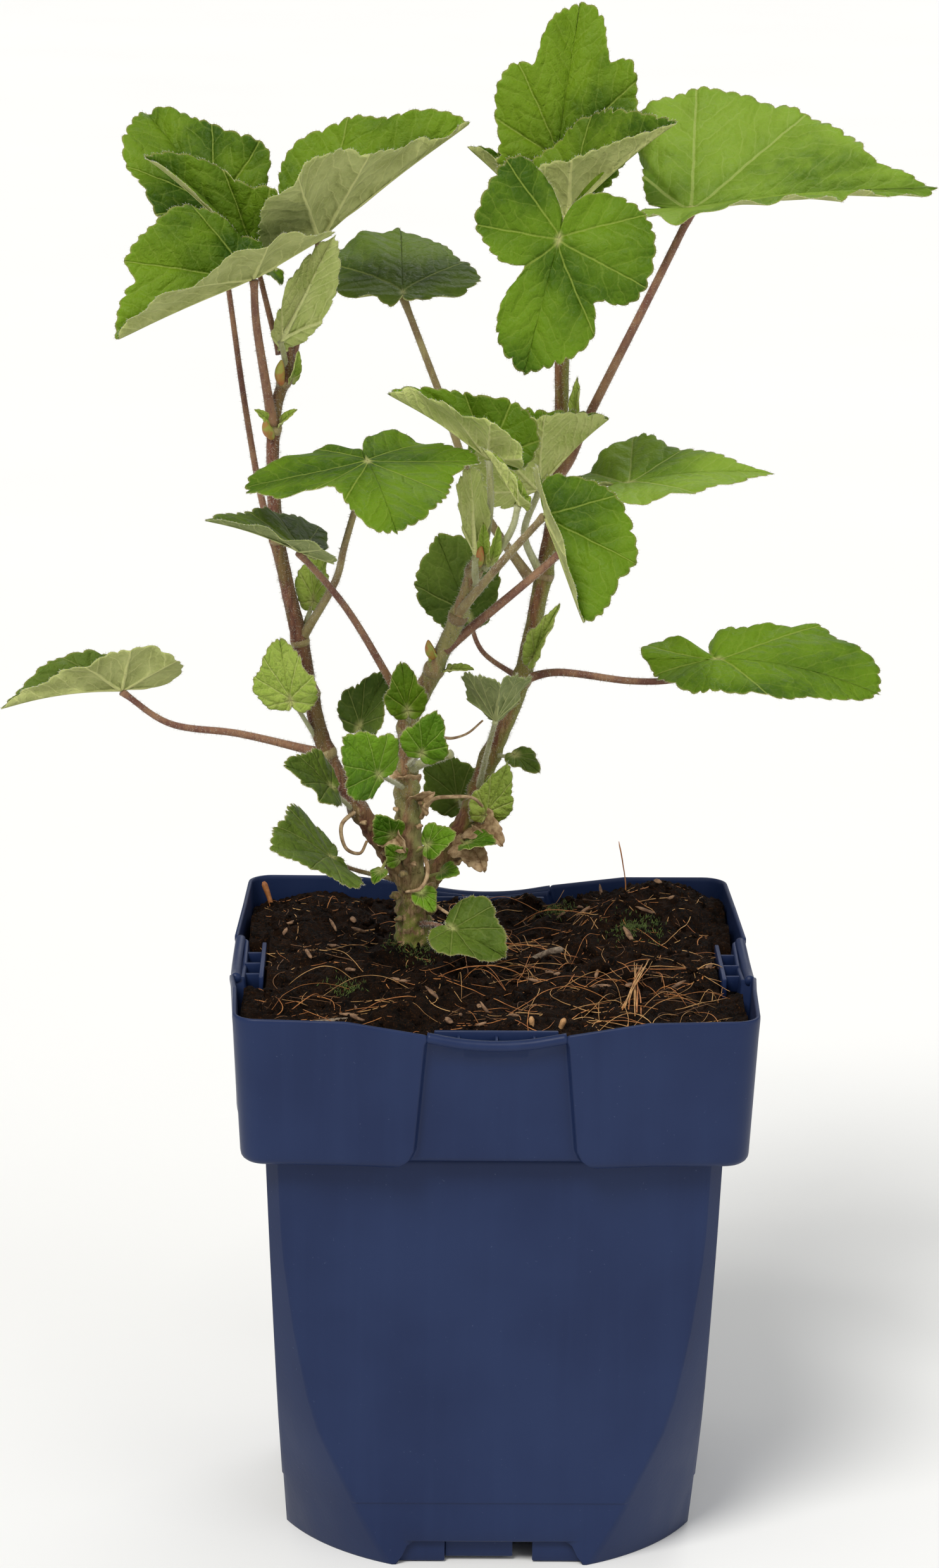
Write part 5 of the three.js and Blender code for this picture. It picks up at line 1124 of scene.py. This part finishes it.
# Knobs where old stalks fell off: place, radius and look
BARK, DRY = "bark_middle", "dry_remains"
SCARS = [
    (-27, 11, 172, 1.9, BARK), (-17, 11, 175, 1.7, BARK), (-25, 9, 179, 1.6, BARK), (-20, 9.5, 186, 1.4, DRY),
    (-27, 8.5, 190, 1.3, BARK), (-20.5, 8, 193, 1.3, DRY), (-27, 8, 198, 1.2, DRY), (-20, 7, 200, 1.2, BARK),
    (-12, 14, 180, 1.5, DRY), (-9, 16, 188, 1.3, BARK), (-14, 15, 186, 1.4, BARK), (-30, 9, 185, 1.4, BARK),
    (-36, 8, 194, 1.2, DRY), (-17, 13, 167, 1.6, BARK), (-26, 12, 165, 1.5, BARK), (-2, 19, 203, 1.1, DRY),
    (-21, 9, 171, 1.5, BARK), (-22, 8.5, 182, 1.3, DRY), (-24, 5, 211, 1, BARK), (-4, 18, 194, 1.2, BARK),
]
# Swollen buds: points along each
BUDS = [
    [(-58.5, 1.5, 318), (-59, 0.5, 321), (-58.5, -0.5, 325)],
    [(-5, -10.5, 271), (-5, -12.5, 274), (-4.5, -13, 277)],
    [(-61, 3, 303), (-62.5, 1, 306), (-63, 0, 308.5)],
    [(-16.5, -1, 243), (-18, -3.5, 246), (-18.5, -4.5, 249)],
]
GOLD = (1 + math.sqrt(5)) / 2
ICO = [
    (-1, GOLD, 0), (1, GOLD, 0), (-1, -GOLD, 0), (1, -GOLD, 0), (0, -1, GOLD), (0, 1, GOLD), (0, -1, -GOLD),
    (0, 1, -GOLD), (GOLD, 0, -1), (GOLD, 0, 1), (-GOLD, 0, -1), (-GOLD, 0, 1),
]
ICO_TRIANGLES = [
    (0, 11, 5), (0, 5, 1), (0, 1, 7), (0, 7, 10), (0, 10, 11), (1, 5, 9), (5, 11, 4), (11, 10, 2), (10, 7, 6),
    (7, 1, 8), (3, 9, 4), (3, 4, 2), (3, 2, 6), (3, 6, 8), (3, 8, 9), (4, 9, 5), (2, 4, 11), (6, 2, 10),
    (8, 6, 7), (9, 8, 1),
]


def icosphere():
    """The 42 points of a ball, and its faces."""
    points = [np.array(p) / np.linalg.norm(p) for p in ICO]
    middles = {}

    def middle(a, b):
        key = (min(a, b), max(a, b))
        if key not in middles:
            points.append(unit(points[a] + points[b]))
            middles[key] = len(points) - 1
        return middles[key]

    faces = []
    for a, b, c in ICO_TRIANGLES:
        ab, bc, ca = middle(a, b), middle(b, c), middle(c, a)
        faces += [(a, ab, ca), (b, bc, ab), (c, ca, bc), (ab, bc, ca)]
    return np.array(points), [np.array(faces)]


def woody_stem(soup, hairs, rng, points, radii, nodes, look):
    path = smooth_path(points, 0.9)
    radii = spread(radii, len(path))
    height = path[:, 2]
    for z in nodes:
        radii = radii + 0.45 * np.exp(-((height - z) / 1.8) ** 2)
        radii = radii - 0.12 * np.exp(-((height - z - 3.2) / 0.9) ** 2)
    a, b, c, d = rng.uniform(0, 6, 4)
    foot = smoothstep(FOOT_TOP, 190, height)[:, None]

    def lumps(along, turn):
        rough = 0.05 * np.sin(2 * turn + 0.21 * along + a) + 0.03 * np.sin(3 * turn - 0.5 * along + b)
        knobs = foot * (0.09 * np.sin(3 * turn + 0.9 * along + d) + 0.07 * np.sin(5 * turn - 1.6 * along))
        return rough + 0.02 * np.sin(7 * turn + 1.3 * along + c) + knobs

    tube(soup, path, radii, 22, look, lumps)
    for z in nodes:
        near = np.abs(height - z + 0.4) < 1.6
        if near.sum() > 2 and z > FOOT_TOP:
            swell = radii[near] + 0.2 * np.sin(np.linspace(0.3, math.pi - 0.3, near.sum()))
            tube(soup, path[near], swell, 18, "stalk_olive")
    upper = height > 196
    if upper.any():
        hairs_on(hairs, path[upper], radii[upper], rng, per_mm=30, length=1.1)


def build_stems(hairs):
    soup = Soup("bark_left", "stalk_young", DRY, "young_upper", "young_under", "leaf_fresh", BARK,
                "bark_right", "stalk_olive", "bud")
    rng = np.random.default_rng(7)
    for stem in STEMS:
        woody_stem(soup, hairs, rng, *stem)
    ball, faces = icosphere()
    for x, y, z, r, look in SCARS:
        knob = ball * rng.uniform(0.7, 1.25, (len(ball), 1)) * (r * 0.85, r * 0.85, r * 0.6)
        soup.add(knob + (x, y, z), faces, look)
    for bud in BUDS:
        path = smooth_path(bud, 0.4)
        share = np.linspace(0, 1, len(path))
        tube(soup, path, 1.45 * np.sin(math.pi * (0.12 + 0.84 * share)) ** 0.8, 12, "bud")
    path = smooth_path(STUMP, 0.6)
    radii = spread((1.6, 1.2, 1.3), len(path))
    tube(soup, path, radii, 14, "stalk_young")
    hairs_on(hairs, path, radii, rng, per_mm=14, length=0.9)
    for points, radius in DRY_ARCS:
        path = smooth_path(points, 0.5)
        tube(soup, path, radius * np.linspace(1.1, 0.7, len(path)), 8, DRY)
    for place in STIPULES:
        leaf = Leaf(*place, rim=STIPULE_RIM, fold=(30, 30), half=0.15, relief=0)
        leaf_sheet(soup, leaf, rng, ("young_upper", "young_under"), pitch=0.35, teeth_pitch=50)
    for *place, root in SPROUTS:
        leaf = Leaf(*place, fold=(12, 12), bend=0.3, width=0.9, half=0.18)
        leaf_sheet(soup, leaf, rng, ("leaf_fresh", "young_under"), pitch=0.35, teeth_pitch=1.9)
        tube(soup, smooth_path([root, place[0]], 0.8), 0.5, 8, "young_upper")
    for place in DRY_LEAVES:
        leaf = Leaf(*place, fold=(40, 25), bend=1.4, curl=(1.5, -1.2), half=0.12, relief=3)
        leaf_sheet(soup, leaf, rng, (DRY, DRY), pitch=0.35, teeth_pitch=2.4)
    soup.piece("fine_stems", "bark", "stem_middle_with_root", "stem_left", "stem_right")


# Soil: its middle height, the reach and cells of the field of heights, the half width and points along a side
# of the surface, its bottom, its height under the finger tabs, and how many bits lie on it
SOIL_Z = 155
SOIL_REACH = 69
SOIL_CELLS = 320
SOIL_HALF = 68.3
SOIL_SIDE = 250
SOIL_BOTTOM = 122
UNDER_TABS = 149.8
CRUMBS = 440
CHIPS = 46
FIBRES = 500
BUNDLE = 9
# Mounds: middle, rise and reach; moss: middle, reach and count
MOUNDS = [(45, 50, 8, 14), (-48, 40, 3, 14), (-24, 8, 2, 10), (40, -20, -2, 20), (4, -4, -2, 9)]
MOSS = [(42, 28, 3.5, 420), (-21, 12, 4.5, 380), (-40, -20, 2.5, 120), (20, 48, 3, 160)]


def cloud(rng, cells):
    """A square field of smooth random heights, with about the given number of waves along each side."""
    lattice = rng.normal(0, 1, (cells + 2, cells + 2))
    t = np.linspace(0, cells, SOIL_CELLS, endpoint=False)
    i = t.astype(int)
    u = smoothstep(0, 1, t - i)
    rows = lattice[i] * (1 - u)[:, None] + lattice[i + 1] * u[:, None]
    return rows[:, i] * (1 - u) + rows[:, i + 1] * u


def crumb_field(rng, grid, xs, count, low, high, height):
    """Raises round crumbs on a square field of heights."""
    middles = rng.uniform(-68, 68, (2, count))
    for cx, cy, r in zip(*middles, rng.uniform(low, high, count)):
        i0, i1 = np.searchsorted(xs, (cx - r, cx + r))
        k0, k1 = np.searchsorted(xs, (cy - r, cy + r))
        if i1 - i0 < 2 or k1 - k0 < 2:
            continue
        dx = (xs[i0:i1, None] - cx) / r
        dy = (xs[None, k0:k1] - cy) / r
        bump = np.sqrt(np.clip(1 - dx * dx - dy * dy, 0, 1)) * r * height
        area = grid[i0:i1, k0:k1]
        grid[i0:i1, k0:k1] = np.maximum(area, area.mean() * 0.55 + bump)


def build_soil():
    """The rough surface down to a flat bottom; returns a function that reads its height."""
    rng = np.random.default_rng(21)
    xs = np.linspace(-SOIL_REACH, SOIL_REACH, SOIL_CELLS)
    field = 0.5 * np.abs(cloud(rng, 22)) + 0.5 * np.abs(cloud(rng, 46))
    # Crumbs of three sizes: their count, smallest and largest radius, and height as a share of it
    for crumbs in ((260, 2.2, 5.0, 0.42), (1800, 1.0, 2.4, 0.55), (4000, 0.5, 1.2, 0.7)):
        crumb_field(rng, field, xs, *crumbs)
    field += 0.55 * np.abs(cloud(rng, 95)) + 0.28 * cloud(rng, 190)
    last = SOIL_CELLS - 1

    def height(x, y):
        i, k = (np.clip((v + SOIL_REACH) / (2 * SOIL_REACH) * last, 0, last - 0.001) for v in (x, y))
        i0, k0 = i.astype(int), k.astype(int)
        u, v = i - i0, k - k0
        level = field[i0, k0] * (1 - u) * (1 - v) + field[i0 + 1, k0] * u * (1 - v)
        level = level + field[i0, k0 + 1] * (1 - u) * v + field[i0 + 1, k0 + 1] * u * v
        z = SOIL_Z + 1.3 * np.sin(0.12 * x + 1) * np.cos(0.1 * y) + 0.7 * np.sin(0.31 * x - 0.23 * y)
        for cx, cy, rise, reach in MOUNDS:
            z = z + rise * np.exp(-((x - cx) ** 2 + (y - cy) ** 2) / (2 * reach * reach))
        return z - 1.6 + level

    even = np.linspace(-1, 1, SOIL_SIDE)
    u, v = np.meshgrid(even, even, indexing="ij")
    corner = smoothstep(0.86, 1, np.abs(u)) * smoothstep(0.86, 1, np.abs(v))
    x, y = (w * SOIL_HALF * (1 - 0.055 * corner) for w in (u, v))
    z = height(x, y) + rng.normal(0, 0.1, x.shape)
    far, near = np.maximum(np.abs(x), np.abs(y)), np.minimum(np.abs(x), np.abs(y))
    at_tab = smoothstep(62.6, 63.1, far) * (1 - smoothstep(20.5, 21.5, near))
    z = z * (1 - at_tab) + UNDER_TABS * at_tab
    points = np.stack([x, y, z], -1).reshape(-1, 3)
    cells = np.arange(SOIL_SIDE * SOIL_SIDE).reshape(SOIL_SIDE, SOIL_SIDE)
    quads = np.stack([cells[:-1, :-1], cells[1:, :-1], cells[1:, 1:], cells[:-1, 1:]], -1).reshape(-1, 4)
    rim = np.concatenate([cells[:, 0], cells[-1, 1:], cells[-2::-1, -1], cells[0, -2:0:-1]])
    skirt = points[rim] * [0.97, 0.97, 0] + [0, 0, SOIL_BOTTOM]
    n = np.arange(len(rim))
    after = (n + 1) % len(rim)
    base = len(points)
    wall = np.stack([rim, base + n, base + after, rim[after]], 1)
    cap = np.stack([np.full(len(rim), base + len(rim)), base + after, base + n], 1)
    soup = Soup("peat")
    soup.add(np.vstack([points, skirt, [[0, 0, SOIL_BOTTOM]]]), [quads, wall, cap])
    soup.piece("fine_soil", "soil", "soil")
    return height


def random_turn(rng):
    """Any turn about the vertical, after a small tilt."""
    turn, tilt = rng.uniform(0, TURN), rng.normal(0, 0.35)
    c, s = math.cos(turn), math.sin(turn)
    flat = np.array([[c, -s, 0], [s, c, 0], [0, 0, 1]])
    c, s = math.cos(tilt), math.sin(tilt)
    return flat @ np.array([[c, 0, s], [0, 1, 0], [-s, 0, c]])


def build_crumbs(height):
    """Loose crumbs, bark chips and moss on the soil."""
    rng = np.random.default_rng(33)
    soup = Soup("peat", "bark_chips", "moss")
    ball, faces = icosphere()
    for _ in range(CRUMBS):
        x, y = rng.uniform(-63, 63, 2)
        if abs(x) > 62 and abs(y) > 62:
            continue
        r = rng.uniform(0.4, 1.1) * (1.9 if rng.uniform() < 0.15 else 1.0)
        crumb = ball * rng.uniform(0.5, 1.5, (len(ball), 1)) * rng.uniform(0.5, 1.3, 3) * r
        soup.add(crumb + (x, y, height(x, y) + r * 0.1), faces)
    for _ in range(CHIPS):
        x, y = rng.uniform(-60, 60, 2)
        length, across = rng.uniform(2.5, 7), rng.uniform(0.8, 2)
        chip = ball * (length / 2, across / 2, 0.5) * rng.uniform(0.8, 1.2, (len(ball), 1))
        soup.add(chip @ random_turn(rng).T + (x, y, height(x, y) + 0.6), faces, "bark_chips")
    for cx, cy, reach, count in MOSS:
        x, y = (rng.normal(0, reach, (count, 2)) + (cx, cy)).T
        roots = np.column_stack([x, y, height(x, y)])
        ways = rng.normal(0, 0.5, (count, 3)) + (0, 0, 1)
        spikes(soup, roots, ways, rng.uniform(0.7, 1.8, count), 0.22, "moss")
    soup.piece("soil_crumbs", "soil")


# Larger single bits on the soil: points along each, its radius and its look
TWIGS = [
    ([(-60, -57, 152.5), (-52, -54, 154.4), (-43, -51, 154.8), (-35, -47, 153.2)], 1.1, "grey_twig"),
    ([(-64, 56, 152.5), (-57, 57.5, 154.5), (-50, 56, 153.5)], 0.8, "fibre_orange"),
    ([(-62.5, 59, 151), (-63.5, 60, 156), (-65.5, 61.5, 161.5)], 0.8, "fibre_orange"),
    ([(9.5, -54, 151), (9.7, -54, 154), (9.5, -54.4, 157.6)], 0.7, "pale_chip"),
    ([(16.5, -54, 151), (17.2, -54, 154), (18.4, -54.6, 157.2)], 0.75, "pale_chip"),
    ([(10, 9, 153), (15, 6, 157), (20, 5, 158.5)], 0.9, "grey_twig"),
    ([(38, 50, 152), (39.5, 49, 163), (38.4, 48.5, 172), (37.2, 48, 178)], 0.18, "fibre_orange"),
]
FIBRE_LOOKS = ("fibre_tan", "fibre_orange", "fibre_brown")
FIBRE_END = 65  # no fibre runs into the pot's walls


def smooth_line(values):
    for _ in range(3):
        middle = (values[:-2] + 2 * values[1:-1] + values[2:]) / 4
        values = np.concatenate([values[:1], middle, values[-1:]])
    return values


def loose_fibre(soup, rng, number, height):
    """A curved thread: every ninth loops out of the soil, and every eighth lies in the heap at the right."""
    x, y = rng.uniform(-66, 66, 2) if number % 8 else rng.normal((24, -4), 22, 2)
    x, y = np.clip((x, y), -64, 64)
    heading = rng.uniform(0, TURN)
    bend = rng.normal(0, 0.09)
    length = rng.uniform(7, 36) * (0.55 if number % 3 else 1.0)
    steps = int(length / 1.6) + 3
    lift = rng.uniform(0.1, 0.9) if number % 9 else rng.uniform(2, 6)
    points = []
    for step in range(steps):
        heading += bend + rng.normal(0, 0.06)
        x += math.cos(heading) * length / steps
        y += math.sin(heading) * length / steps
        if max(abs(x), abs(y)) > FIBRE_END:
            break
        loop = math.sin(math.pi * (step / (steps - 1)))
        points.append((x, y, height(x, y) * 0.35 + 0.65 * (SOIL_Z - 0.2) + lift * loop - 0.5 * (1 - loop)))
    if len(points) < 4:
        return
    x, y, z = np.array(points).T
    z = np.maximum(z, height(x, y) - 0.3 + 0.5 * np.sin(np.linspace(0, math.pi, len(z))))
    radius = rng.uniform(0.08, 0.17) * (1.9 if number % 41 == 0 else 1)
    line = np.column_stack([x, y, smooth_line(z)])
    tube(soup, line, radius * np.linspace(1, 0.6, len(line)), 4, FIBRE_LOOKS[(number // 2) % 3])


def straight_fibre(soup, rng, number, height):
    """One thread of the bundle at the right front."""
    across = rng.uniform(-3, 3)
    near, far = (37 + across, rng.uniform(-48, -36)), (41 - across, rng.uniform(-6, 3))
    share = np.linspace(0, 1, 14)
    x, y = (a + (b - a) * share for a, b in zip(near, far))
    z = height(x, y).max() - 0.4 + rng.uniform(0, 1.6) + 0.6 * np.sin(math.pi * share)
    line = np.column_stack([x + rng.normal(0, 0.5) * np.sin(math.pi * share), y, z])
    tube(soup, line, rng.uniform(0.14, 0.24) * np.linspace(1, 0.7, len(line)), 5, FIBRE_LOOKS[number % 2])


def build_fibres(height):
    """Coir fibres that lie on the soil and loop out of it, and the larger bits."""
    rng = np.random.default_rng(55)
    soup = Soup(*FIBRE_LOOKS, "grey_twig", "pale_chip")
    for number in range(FIBRES):
        loose_fibre(soup, rng, number, height)
    for number in range(BUNDLE):
        straight_fibre(soup, rng, number, height)
    for points, radius, look in TWIGS:
        path = smooth_path(points, 0.9)
        share = np.linspace(0, 1, len(path))
        ends = np.interp(share, (0, 0.06, 0.94, 1), (0.5, 1, 1, 0.5))
        tube(soup, path, radius * (1 + 0.12 * np.sin(9 * share)) * ends, 9, look)
    soup.piece("coir_fibres", "soil")


LOOKS = {name: make(name, *row) for make, rows in LOOK_TABLE.items() for name, row in rows.items()}
photo_camera()
studio()
floor()
build_pot()
SOIL_HEIGHT = build_soil()
build_crumbs(SOIL_HEIGHT)
build_fibres(SOIL_HEIGHT)
HAIRS = Soup("fine_hairs")
build_leaves(HAIRS)
build_stems(HAIRS)
HAIRS.piece("fine_hairs", "leaf")
